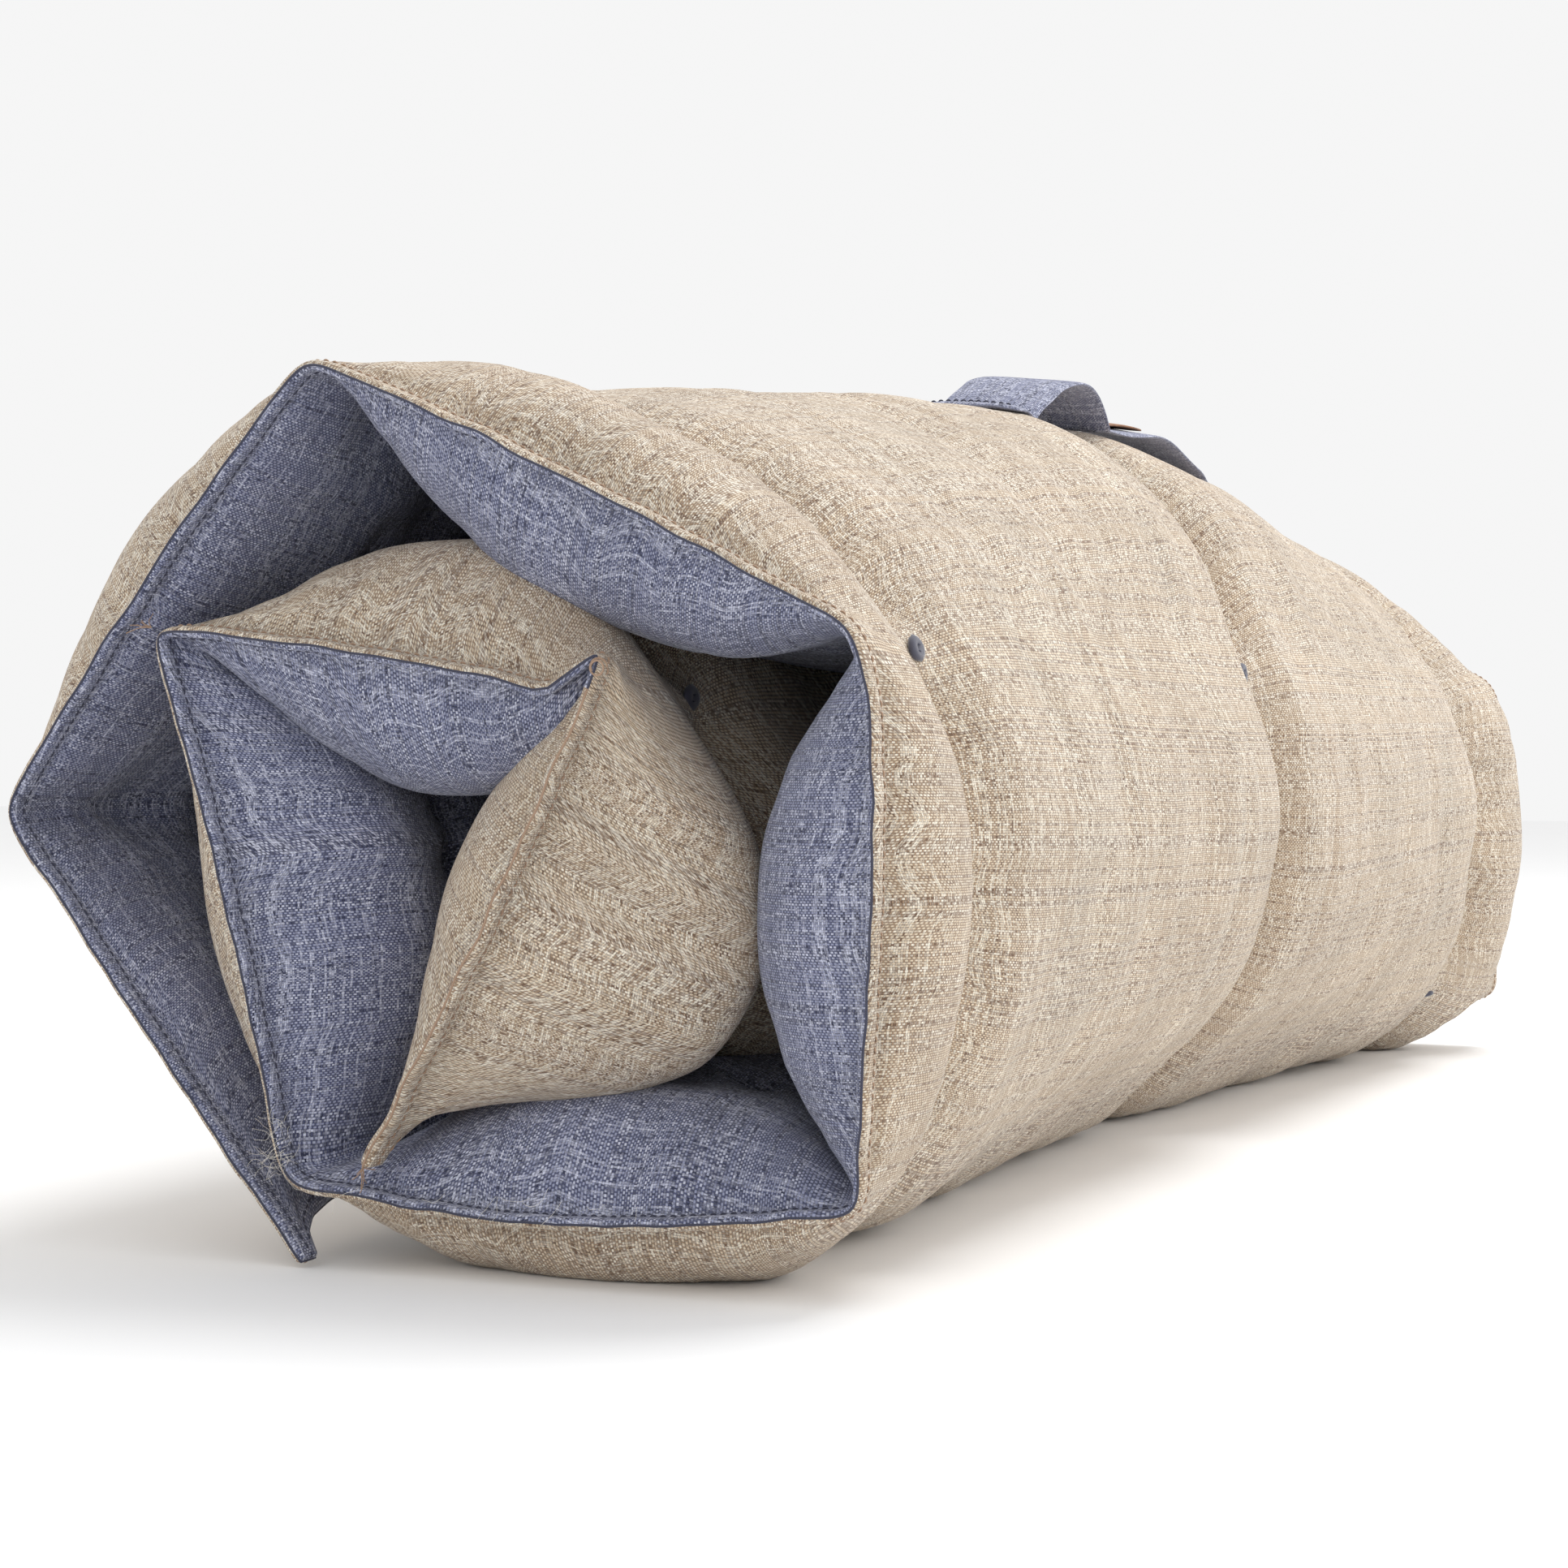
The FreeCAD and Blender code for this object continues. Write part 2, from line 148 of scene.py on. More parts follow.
def soft_line(values):
    """A line over the roll's length, rounded except where it is sewn into the ends."""
    exact = np.interp(rows, sections, values)
    spread = np.interp(rows[:, None] + bell_places[None], sections, values)
    rounded = (spread * bell).sum(axis=1) / bell.sum()
    held = smooth_step(end_distance, LIP, LIP + END_ROUND)
    return exact + (rounded - exact) * held


fold_lines = np.zeros((PANELS + 1, len(rows), 2))
for fold in range(PANELS + 1):
    for axis in (0, 1):
        fold_lines[fold, :, axis] = soft_line(fold_sections[fold, :, axis])

# The tufts stand in rows across the mattress. Each draws its fold into the wool.
TUFT_DRAW = 0.0125        # how far a tuft draws its fold in
TUFT_REACH = 0.019        # over this length to either side of it
TUFT_SPACING = 0.1        # less than the distance between two tufts
tuft_places = []
for y in sorted(vertex.co.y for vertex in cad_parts["fold_3_tuft_buttons"].data.vertices):
    if tuft_places and y - tuft_places[-1][0] < TUFT_SPACING:
        tuft_places[-1].append(y)
    else:
        tuft_places.append([y])
TUFT_ROWS = [sum(places) / len(places) for places in tuft_places]
drawn = sum(np.exp(-((rows - y) / TUFT_REACH) ** 2) for y in TUFT_ROWS)


def outward_at(fold):
    """Unit vectors out of a fold, half way between its two panels' own, row by row."""
    total = np.zeros((len(rows), 2))
    for start, end in ((fold - 1, fold), (fold, fold + 1)):
        along = fold_lines[end] - fold_lines[start]
        along = along / np.linalg.norm(along, axis=1)[:, None]
        total += np.stack((-along[:, 1], along[:, 0]), axis=1)
    return total / np.linalg.norm(total, axis=1)[:, None]


draws = {fold: outward_at(fold) * (TUFT_DRAW * drawn)[:, None] for fold in FOLDS}
for fold in FOLDS:
    fold_lines[fold] -= draws[fold]


# ---- The wool pads' relief ---------------------------------------------------------------------
# A panel is two cloths sewn round their edge and stuffed with wool, so the cloth puckers where it
# is held. One such pad is blown up as cloth, and its fine relief is kept for every panel.
PAD_WIDTH = 0.190
PAD_CELL = 0.005
PAD_PRESSURE = 4.0
PAD_SLACK = 0.035
PAD_FRAMES = 20
PAD_START = 0.002         # how far apart the two cloths start, each from the middle
PAD_TUFT_CELLS = 3        # cells in from a fold that a tuft holds down
RELIEF_BLUR = 4
RELIEF_SHARE = 0.45       # the stiffer, looser pads of the roll show this much of it


def blown_pad():
    """Heights of both sides of a pad after the wool has filled it, on an even grid."""
    across = int(round(PAD_WIDTH / PAD_CELL))
    along = int(round(2 * ROLL_HALF / PAD_CELL))
    vertices, faces, places = [], [], {}
    for layer in (1, -1):
        for j in range(along + 1):
            for i in range(across + 1):
                rim = i in (0, across) or j in (0, along)
                if rim and layer == -1:
                    places[layer, i, j] = places[1, i, j]
                    continue
                places[layer, i, j] = len(vertices)
                lift = 0.0 if rim else layer * PAD_START
                vertices.append((i * PAD_CELL, j * PAD_CELL, lift))
        for j in range(along):
            for i in range(across):
                ring = [places[layer, i, j], places[layer, i + 1, j],
                        places[layer, i + 1, j + 1], places[layer, i, j + 1]]
                faces.append(ring if layer == 1 else ring[::-1])
    mesh = bpy.data.meshes.new("pad_for_filling")
    mesh.from_pydata(vertices, [], faces)
    pad = bpy.data.objects.new("pad_for_filling", mesh)
    bpy.context.scene.collection.objects.link(pad)
    held = []
    tuft_rows = [int(round((y + ROLL_HALF) / PAD_CELL)) for y in TUFT_ROWS]
    for (layer, i, j), index in places.items():
        tufted = j in tuft_rows and min(i, across - i) <= PAD_TUFT_CELLS
        if i in (0, across) or j in (0, along) or tufted:
            held.append(index)
    group = pad.vertex_groups.new(name="sewn")
    group.add(sorted(set(held)), 1.0, "REPLACE")
    cloth = pad.modifiers.new("filling", "CLOTH")
    linen = {"quality": 6, "mass": 0.3, "tension_stiffness": 15, "compression_stiffness": 12,
             "shear_stiffness": 5, "bending_stiffness": 0.4, "vertex_group_mass": "sewn",
             "use_pressure": True, "uniform_pressure_force": PAD_PRESSURE, "shrink_min": -PAD_SLACK}
    for setting, value in linen.items():
        setattr(cloth.settings, setting, value)
    cloth.settings.effector_weights.gravity = 0.0
    cloth.collision_settings.use_collision = False
    scene = bpy.context.scene
    for moment in range(1, PAD_FRAMES + 1):
        scene.frame_set(moment)
    filled = pad.evaluated_get(bpy.context.evaluated_depsgraph_get())
    points = np.array([vertex.co for vertex in filled.data.vertices])
    heights = {}
    for layer in (1, -1):
        grid = np.zeros((along + 1, across + 1))
        for j in range(along + 1):
            for i in range(across + 1):
                grid[j, i] = layer * points[places[layer, i, j], 2]
        heights[layer] = grid
    scene.frame_set(1)
    bpy.data.objects.remove(pad)
    bpy.data.meshes.remove(mesh)
    return heights


def blurred(grid, reach):
    """The grid with its fine relief taken out."""
    kernel = np.exp(-0.5 * (np.arange(-3 * reach, 3 * reach + 1) / reach) ** 2)
    kernel /= kernel.sum()
    padded = np.pad(grid, 3 * reach, mode="reflect", reflect_type="odd")
    wide = np.apply_along_axis(np.convolve, 0, padded, kernel, "valid")
    return np.apply_along_axis(np.convolve, 1, wide, kernel, "valid")


reliefs = []
for grid in blown_pad().values():
    detail = (grid - blurred(grid, RELIEF_BLUR)) * RELIEF_SHARE
    reliefs += [detail, detail[:, ::-1], detail[::-1], detail[::-1, ::-1]]


def relief_at(number, share_along, share_across):
    """A pad's relief at places given as shares of its length and width."""
    grid = reliefs[number % len(reliefs)]
    j = np.clip(share_along, 0, 1) * (grid.shape[0] - 1)
    i = np.clip(share_across, 0, 1) * (grid.shape[1] - 1)
    j0 = np.minimum(j.astype(int), grid.shape[0] - 2)
    i0 = np.minimum(i.astype(int), grid.shape[1] - 2)
    dj, di = j - j0, i - i0
    low = grid[j0, i0] * (1 - di) + grid[j0, i0 + 1] * di
    high = grid[j0 + 1, i0] * (1 - di) + grid[j0 + 1, i0 + 1] * di
    return low * (1 - dj) + high * dj


# ---- The two cloths ----------------------------------------------------------------------------
# Each side of the mattress is one length of cloth, laid over all eight pads: crowned on the
# panels, drawn down by the tufts, and rolled over at the folds. It is shaped whole, then cut.
SEAM_GAP = 0.00015        # between the two cloths where they lie on each other
EDGE_THICK = 0.0019       # one cloth with its turned-in edge
EDGE_ROLL = 0.0017        # how far in that edge is rounded
FOLD_REACH = 0.013        # from a fold line to where its panel's own shape starts
FOLD_GAP = 0.004          # from a fold line to the edge of the wool
COLUMN_STEP = 0.0045
FOLD_COLUMNS = 10
SHARP_REACH = 0.9         # a fold is creased at the sewn ends: 1 for a sharp corner
SOFT_REACH = {"outer": 0.5, "inner": 0.62}   # and rolls over softly away from them
CROWN = {"outer": 2.5, "inner": 2.4}         # powers: a higher one gives a flatter panel
FULLER = {"outer": 1.16, "inner": 1.24}      # the cloth between the tufts, beside the mean loft
RESTING_PANEL = int(np.argmin([fold_lines[p:p + 2, :, 1].mean() for p in range(PANELS)]))
RESTING_CROWN = 4.0
SWELL_POWER = 2.2         # how quickly a pad swells from its lip
# Panels with more or less wool than the mean, which their numbers and sides stand for.
STUFFED = {("outer", 6): 1.7, ("outer", 7): 1.55, ("inner", 7): 1.35, ("outer", 8): 1.5,
           ("inner", 1): 0.6, ("inner", 4): 1.08}
# The panels round the outside are pulled flat near the roll's ends: their loft there and in the
# middle of the roll, beside the mean loft.
BARREL = {1: (0.5, 0.9), 2: (0.8, 1.05), 3: (0.5, 1.25), 4: (0.55, 0.9)}
GROOVE_WIDTH = 0.021      # of the furrow that joins two tufts across a panel
GROOVE_POWER = 1.25       # under 2 for a furrow with a sharp bottom
GROOVE_MIDDLE = 0.46      # its depth in the middle of a panel, as a share of the loft
GROOVE_EDGE = 0.85        # and at the folds
GROOVE_RISE = 2.6         # power by which it deepens towards them
RESTING_GROOVE_RISE = 6
PUCKER_HEIGHT = 0.0058
PUCKER_SIZE = 0.021
PUCKER_STRETCH = 0.3      # puckers run along the roll: their breadth beside their length
PUCKER_FADE = 0.25        # share of a half panel over which they fade out beside a fold
LUMP_HEIGHT = 0.0019
LUMP_SIZE = 0.085
RIPPLE_HEIGHT = 0.0007    # of the sewn lip
RIPPLE_SIZE = 0.022
PUCKER_SEED = 100
RIPPLE_SEED = 60
LIP_FADE = 0.045          # how far in from the end the bow of a lip fades out
ABOVE_GROUND = 0.0003

# How far the seam at the ends bows off its straight line in each panel, outwards in metres, and
# where along the panel it does so most.
lip_bows = [(0.001, 0.5), (0.0035, 0.55), (0.003, 0.38), (0.0095, 0.24),
            (0.0085, 0.55), (-0.003, 0.5), (0.003, 0.5), (0.002, 0.5)]
# The seventh panel's near lip sags as well, to a sharp corner close to its second fold.
PLEATED_PANEL = 6
PLEAT_SAG = -0.0165
PLEAT_CORNER = 0.87
PLEAT_FADE = 0.026


def uneven(seed, along, across, size):
    """Soft, even-handed lumps of about that size over a panel, from -1 to 1."""
    chance = np.random.default_rng(seed)
    total = np.zeros(np.broadcast(along, across).shape)
    waves = 9
    for _ in range(waves):
        turn = chance.uniform(0, 2 * math.pi)
        length = size * chance.uniform(0.7, 1.6)
        phase = chance.uniform(0, 2 * math.pi)
        way = 2 * math.pi / length
        total += np.sin(way * (math.cos(turn) * along + math.sin(turn) * across) + phase)
    return total / math.sqrt(waves) / 1.5


def rolled(distance):
    """0 at a turned-in edge, 1 where the cloth lies flat."""
    left = np.clip(1.0 - distance / EDGE_ROLL, 0.0, 1.0)
    return np.sqrt(1.0 - left ** 2)


def panel_columns(panel, side):
    """The cloth over one panel, as points by row and column."""
    start, end = fold_lines[panel], fold_lines[panel + 1]
    span = np.linalg.norm(end - start, axis=1)[:, None]
    along = (end - start) / span
    outward = np.stack((-along[:, 1], along[:, 0]), axis=1)
    width = span.mean()
    hem_start, hem_end = panel == 0, panel == PANELS - 1
    first = 0.0 if hem_start else FOLD_REACH
    last = width if hem_end else width - FOLD_REACH
    inner_marks = list(np.linspace(first + (LIP if hem_start else 0.0),
                                   last - (LIP if hem_end else 0.0),
                                   int(round((last - first) / COLUMN_STEP)) + 1))
    marks = list(LIP_ROWS[:-1]) * hem_start + inner_marks
    if hem_end:
        marks += [width - distance for distance in reversed(LIP_ROWS[:-1])]
    share = np.array(marks)[None, :] / width
    place = share * span
    low = LIP if hem_start else FOLD_GAP
    high = span - (LIP if hem_end else FOLD_GAP)
    x = np.clip((2 * place - low - high) / (high - low), -1.0, 1.0)
    resting = panel == RESTING_PANEL and side == "outer"
    power = RESTING_CROWN if resting else CROWN[side]
    crown = 1.0 - np.abs(x) ** power
    inside = np.clip((end_distance - LIP) / END_ROUND, 0.0, 1.0)[:, None]
    swell = np.sqrt(1.0 - (1.0 - inside) ** SWELL_POWER)
    furrow = np.zeros_like(x)
    for y in TUFT_ROWS:
        aside = np.abs((rows[:, None] - y) / GROOVE_WIDTH)
        furrow = np.maximum(furrow, np.exp(-aside ** GROOVE_POWER))
    groove = 1.0 - furrow * (GROOVE_MIDDLE + (GROOVE_EDGE - GROOVE_MIDDLE) * np.abs(x) ** GROOVE_RISE)
    if resting:
        groove = 1.0 - furrow * GROOVE_EDGE * np.abs(x) ** RESTING_GROOVE_RISE
    height = (loft[side][panel] - EDGE_THICK) * STUFFED.get((side, panel + 1), 1.0)
    if side == "outer" and panel + 1 in BARREL:
        at_ends, at_middle = BARREL[panel + 1]
        middle_share = np.cos(0.5 * math.pi * rows / ROLL_HALF)[:, None] ** 2
        height = height * (at_ends + (at_middle - at_ends) * middle_share)
    elif not resting:
        height *= FULLER[side]
    number = 2 * panel + (side == "inner")
    wave = uneven(PUCKER_SEED + number, rows[:, None] * PUCKER_STRETCH, place, PUCKER_SIZE)
    puckers = PUCKER_HEIGHT * furrow ** 2 * wave * smooth_step(1 - np.abs(x), 0.0, PUCKER_FADE)
    lumps = LUMP_HEIGHT * uneven(number, rows[:, None], place, LUMP_SIZE)
    fine_relief = relief_at(number, (rows[:, None] + ROLL_HALF) / (2 * ROLL_HALF), share)
    relief = (puckers + lumps) * swell * np.sqrt(crown) + fine_relief * swell
    hem_distance = np.full_like(place, EDGE_ROLL)
    if hem_start:
        hem_distance = place
    if hem_end:
        hem_distance = span - place
    edge = rolled(end_distance)[:, None] * rolled(hem_distance)
    rise = SEAM_GAP + EDGE_THICK * edge + height * crown * swell * groove + relief
    bow, peak = lip_bows[panel]
    skew = math.log(0.5) / math.log(peak)
    bend = bow * np.sin(math.pi * share ** skew) * np.exp(-(end_distance / LIP_FADE) ** 2)[:, None]
    if panel == PLEATED_PANEL:
        sagging = np.exp(-((rows + ROLL_HALF) / PLEAT_FADE) ** 2)[:, None]
        bend = bend + PLEAT_SAG * np.interp(share, (0.0, PLEAT_CORNER, 1.0), (0.0, 1.0, 0.0)) * sagging
    ripple = RIPPLE_HEIGHT * uneven(RIPPLE_SEED + panel, 0.0, place, RIPPLE_SIZE)
    bend = bend + ripple * np.exp(-(end_distance / LIP) ** 2)[:, None]
    offset = bend + (rise if side == "outer" else -rise)
    flat = start[:, None, :] + along[:, None, :] * place[..., None]
    section = flat + outward[:, None, :] * offset[..., None]
    return np.stack((section[..., 0], np.broadcast_to(rows[:, None], x.shape), section[..., 1]), axis=2)


def unit(vectors):
    return vectors / np.linalg.norm(vectors, axis=-1, keepdims=True)


def fold_columns(fold, side, before, after):
    """The cloth that rolls over a fold, from the last column before it to the first after."""
    line = np.insert(fold_lines[fold], 1, rows, axis=1)
    start, end = before[:, -1], after[:, 0]
    softened = smooth_step(end_distance, LIP, 4 * LIP)[:, None]
    reach = SHARP_REACH + (SOFT_REACH[side] - SHARP_REACH) * softened
    out = reach * np.linalg.norm(start - line, axis=1)[:, None]
    back = reach * np.linalg.norm(end - line, axis=1)[:, None]
    first = start + unit(start - before[:, -2]) * out
    second = end + unit(end - after[:, 1]) * back
    shares = np.linspace(0, 1, FOLD_COLUMNS + 1)[None, 1:-1, None]
    rest = 1 - shares
    return (rest ** 3 * start[:, None] + 3 * rest ** 2 * shares * first[:, None]
            + 3 * rest * shares ** 2 * second[:, None] + shares ** 3 * end[:, None])


def tuft_centres(fold):
    """Where each button of a fold stands once its thread has drawn the fold in."""
    points = np.array([v.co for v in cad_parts["fold_%d_tuft_buttons" % fold].data.vertices])
    centres = []
    for y in TUFT_ROWS:
        centre = points[np.abs(points[:, 1] - y) < TUFT_SPACING / 2].mean(axis=0)
        x_draw, z_draw = [np.interp(y, rows, draws[fold][:, axis]) for axis in (0, 1)]
        centres.append(centre - np.array((x_draw, 0.0, z_draw)))
    return centres


TUFT_SEAT = 0.0024        # from a fold line to the cloth that its button draws down
DIMPLE_REACH = 0.012
DIMPLE_COLUMNS = 8        # columns of each panel beside a fold that its tufts draw in
FELT_LIFT = 0.0010        # from that cloth to the middle of the button
tuft_seats = {}


def drawn_down(points, fold, columns):
    """Points of the outer cloth, pulled in under the buttons of a fold, in the columns by it."""
    by_fold = np.isin(np.arange(points.shape[1]), columns)[None, :]
    for number, centre in enumerate(tuft_centres(fold)):
        line = np.array([np.interp(centre[1], rows, fold_lines[fold, :, axis]) for axis in (0, 1)])
        foot = np.array((line[0], centre[1], line[1]))
        axis = unit(centre - foot)
        offset = points - foot
        height = offset @ axis
        aside = np.linalg.norm(offset - height[..., None] * axis, axis=-1)
        beside = np.broadcast_to(by_fold, aside.shape)
        nearest = np.unravel_index(np.where(beside, aside, 1.0).argmin(), aside.shape)
        excess = height[nearest] - TUFT_SEAT
        pull = excess * np.exp(-(aside / DIMPLE_REACH) ** 2) * beside
        points = points - pull[..., None] * axis
        tuft_seats[fold, number] = (foot + axis * (TUFT_SEAT + FELT_LIFT), foot, axis)
    return points


pieces_of_cloth = {}
for side in ("outer", "inner"):
    panels = [panel_columns(panel, side) for panel in range(PANELS)]
    strips = [fold_columns(fold, side, panels[fold - 1], panels[fold]) for fold in FOLDS]
    whole, cuts = [panels[0]], [0]
    for fold in FOLDS:
        whole += [strips[fold - 1], panels[fold]]
    for part in whole:
        cuts.append(cuts[-1] + part.shape[1])
    cloth = np.concatenate(whole, axis=1)
    if side == "outer":
        for fold in FOLDS:
            by_fold = range(cuts[2 * fold - 1] - DIMPLE_COLUMNS, cuts[2 * fold] + DIMPLE_COLUMNS)
            cloth = drawn_down(cloth, fold, by_fold)
        cloth[..., 2] = np.maximum(cloth[..., 2], ABOVE_GROUND)
    steps_across = np.linalg.norm(np.diff(cloth, axis=1), axis=2)
    steps_along = np.linalg.norm(np.diff(cloth, axis=0), axis=2)
    grain_u = np.concatenate((np.zeros((len(rows), 1)), np.cumsum(steps_across, axis=1)), axis=1)
    grain_v = np.concatenate((np.zeros((1, cloth.shape[1])), np.cumsum(steps_along, axis=0)))
    middle = len(rows) // 2
    grain_u = np.broadcast_to(grain_u[middle], grain_u.shape)
    grain_v = grain_v - grain_v[middle]
    for number, part in enumerate(whole):
        panel_piece = number % 2 == 0
        first = cuts[number] - (0 if panel_piece else 1)
        last = cuts[number + 1] + (0 if panel_piece else 1)
        key = ("panel" if panel_piece else "fold", number // 2 + 1, side)
        pieces_of_cloth[key] = (cloth[:, first:last], grain_u[:, first:last], grain_v[:, first:last])


def placed(name, mesh):
    """A new object in the scene over that mesh."""
    piece = bpy.data.objects.new(name, mesh)
    bpy.context.scene.collection.objects.link(piece)
    return piece


def cloth_piece(name, points, u, v, turned):
    """A mesh over a grid of points, with the cloth's grain in metres as its UV map."""
    count, across = points.shape[:2]
    index = np.arange(count * across).reshape(count, across)
    ring = np.stack((index[:-1, :-1], index[:-1, 1:], index[1:, 1:], index[1:, :-1]), axis=-1)
    faces = ring.reshape(-1, 4)
    if turned:
        faces = faces[:, ::-1]
    mesh = bpy.data.meshes.new(name)
    mesh.from_pydata(points.reshape(-1, 3).tolist(), [], faces.tolist())
    grain = mesh.uv_layers.new(name="grain")
    flat_u, flat_v = u.reshape(-1), v.reshape(-1)
    corners = np.array([loop.vertex_index for loop in mesh.loops])
    grain.data.foreach_set("uv", np.stack((flat_u[corners], flat_v[corners]), axis=1).reshape(-1))
    mesh.polygons.foreach_set("use_smooth", [True] * len(mesh.polygons))
    return placed(name, mesh)


# The weave both cloths have: slubby threads one over the other, each with its own shade, and the
# short pale and dark stretches that give linen its flecks. Where the threads dip, the colour is
# darkened as painted shade in the hollows of the weave.
def sockets(group, inputs, outputs):
    for name, kind, value in inputs:
        socket = group.interface.new_socket(name=name, in_out="INPUT", socket_type=kind)
        socket.default_value = value
    for name, kind in outputs:
        group.interface.new_socket(name=name, in_out="OUTPUT", socket_type=kind)


class Bench:
    """Places the nodes of one group or material and joins them up."""

    def __init__(self, tree):
        self.tree = tree
        tree.nodes.clear()

    def node(self, kind, **settings):
        made = self.tree.nodes.new(kind)
        for name, value in settings.items():
            setattr(made, name, value)
        return made

    def feed(self, socket, source):
        if isinstance(source, bpy.types.NodeSocket):
            self.tree.links.new(source, socket)
        else:
            socket.default_value = source

    def math(self, operation, *values):
        made = self.node("ShaderNodeMath", operation=operation)
        for socket, value in zip(made.inputs, values):
            self.feed(socket, value)
        return made.outputs[0]

    def vector(self, operation, first, second):
        made = self.node("ShaderNodeVectorMath", operation=operation)
        self.feed(made.inputs[0], first)
        self.feed(made.inputs[1], second)
        return made.outputs[0]

    def place(self, x, y, z=0.0):
        made = self.node("ShaderNodeCombineXYZ")
        for socket, value in zip(made.inputs, (x, y, z)):
            self.feed(socket, value)
        return made.outputs[0]

    def split(self, vector):
        made = self.node("ShaderNodeSeparateXYZ")
        self.feed(made.inputs[0], vector)
        return made.outputs[0], made.outputs[1], made.outputs[2]

    def noise(self, vector, scale, detail=2.0, rough=0.5):
        made = self.node("ShaderNodeTexNoise")
        self.feed(made.inputs["Vector"], vector)
        self.feed(made.inputs["Scale"], scale)
        self.feed(made.inputs["Detail"], detail)
        self.feed(made.inputs["Roughness"], rough)
        return made.outputs[0]

    def chance(self, value):
        made = self.node("ShaderNodeTexWhiteNoise", noise_dimensions="1D")
        self.feed(made.inputs["W"], value)
        return made.outputs["Value"]

    def mix(self, share, first, second, way="MIX"):
        made = self.node("ShaderNodeMix", data_type="RGBA", blend_type=way)
        self.feed(made.inputs["Factor"], share)
        self.feed(made.inputs["A"], first)
        self.feed(made.inputs["B"], second)
        return made.outputs["Result"]

    def range(self, value, low, high, to_low=0.0, to_high=1.0):
        made = self.node("ShaderNodeMapRange")
        for socket, amount in zip(made.inputs, (value, low, high, to_low, to_high)):
            self.feed(socket, amount)
        return made.outputs[0]


def surfaced(bench, relief, strength, distance, looks):
    """Ends a material in a Principled surface with those looks, over a bump of that relief."""
    bump = bench.node("ShaderNodeBump")
    for socket, value in (("Strength", strength), ("Distance", distance), ("Height", relief)):
        bench.feed(bump.inputs[socket], value)
    surface = bench.node("ShaderNodeBsdfPrincipled")
    for socket, value in looks.items():
        bench.feed(surface.inputs[socket], value)
    bench.feed(surface.inputs["Normal"], bump.outputs[0])
    bench.feed(bench.node("ShaderNodeOutputMaterial").inputs["Surface"], surface.outputs[0])


def linen_weave():
    group = bpy.data.node_groups.new("linen_weave", "ShaderNodeTree")
    sockets(group,
            [("Grain", "NodeSocketVector", (0.0, 0.0, 0.0)),
             ("Threads per metre", "NodeSocketFloat", 1400.0),
             ("Warp", "NodeSocketColor", (0.5, 0.5, 0.5, 1.0)),
             ("Weft", "NodeSocketColor", (0.5, 0.5, 0.5, 1.0)),
             ("Pale thread", "NodeSocketColor", (0.8, 0.8, 0.8, 1.0)),
             ("Dark thread", "NodeSocketColor", (0.1, 0.1, 0.1, 1.0)),
             # How far the painted shade darkens the weave where its threads dip:
             ("Gap shade", "NodeSocketFloat", 0.45)],
            [("Colour", "NodeSocketColor"), ("Height", "NodeSocketFloat")])
    bench = Bench(group)
    given = bench.node("NodeGroupInput").outputs
    result = bench.node("NodeGroupOutput").inputs
    grain = bench.vector("MULTIPLY", given["Grain"],
                         bench.place(given["Threads per metre"], given["Threads per metre"]))
    sway = bench.math("SUBTRACT", bench.noise(grain, 0.09, 3.0), 0.5)
    u, v, _ = bench.split(grain)
    u = bench.math("ADD", u, bench.math("MULTIPLY", sway, 0.6))
    v = bench.math("ADD", v, bench.math("MULTIPLY", sway, -0.6))
    colours, heights = [], []
    over = bench.math("MODULO", bench.math("ABSOLUTE", bench.math(
        "ADD", bench.math("FLOOR", u), bench.math("FLOOR", v))), 2.0)
    under = bench.math("SUBTRACT", 1.0, over)
    for across, run, base, seed, top in ((u, v, given["Warp"], 3.1, over),
                                         (v, u, given["Weft"], 8.7, under)):
        thread = bench.math("FLOOR", across)
        own = bench.chance(bench.math("ADD", thread, seed))
        slub = bench.noise(bench.place(bench.math("MULTIPLY", thread, 7.31),
                                       bench.math("MULTIPLY", run, 0.27), seed), 1.0, 2.0, 0.6)
        pale = bench.range(bench.math("ADD", bench.math("MULTIPLY", own, 0.45), slub), 0.66, 0.95)
        dark = bench.range(bench.math("SUBTRACT", slub, bench.math("MULTIPLY", own, 0.35)), 0.30, 0.05)
        tone = bench.mix(pale, base, given["Pale thread"])
        tone = bench.mix(dark, tone, given["Dark thread"])
        round_top = bench.math("SINE", bench.math("MULTIPLY", bench.math("FRACT", across), math.pi))
        lift = bench.math("ADD", bench.math("MULTIPLY", top, 0.5), 0.5)
        height = bench.math("MULTIPLY", round_top, lift)
        heights.append(bench.math("ADD", height, bench.math("MULTIPLY", slub, 0.15)))
        colours.append(tone)
    warp_shows = bench.math("GREATER_THAN", heights[0], heights[1])
    colour = bench.mix(warp_shows, colours[1], colours[0])
    height = bench.math("MAXIMUM", heights[0], heights[1])
    # Painted shade: the colour is darkened where the weave lies low, most at the bottom of a dip.
    shade = bench.range(height, 0.25, 0.95, bench.math("SUBTRACT", 1.0, given["Gap shade"]), 1.0)
    bench.feed(result["Colour"], bench.mix(1.0, colour, bench.place(shade, shade, shade), "MULTIPLY"))
    bench.feed(result["Height"], height)
    return group


WEAVE = linen_weave()


def tone(red, green, blue):
    """A colour as a dyer's card shows it, turned into the light it sends back."""
    shown = [channel / 255 for channel in (red, green, blue)]
    light = [c / 12.92 if c <= 0.04045 else ((c + 0.055) / 1.055) ** 2.4 for c in shown]
    return (*light, 1.0)
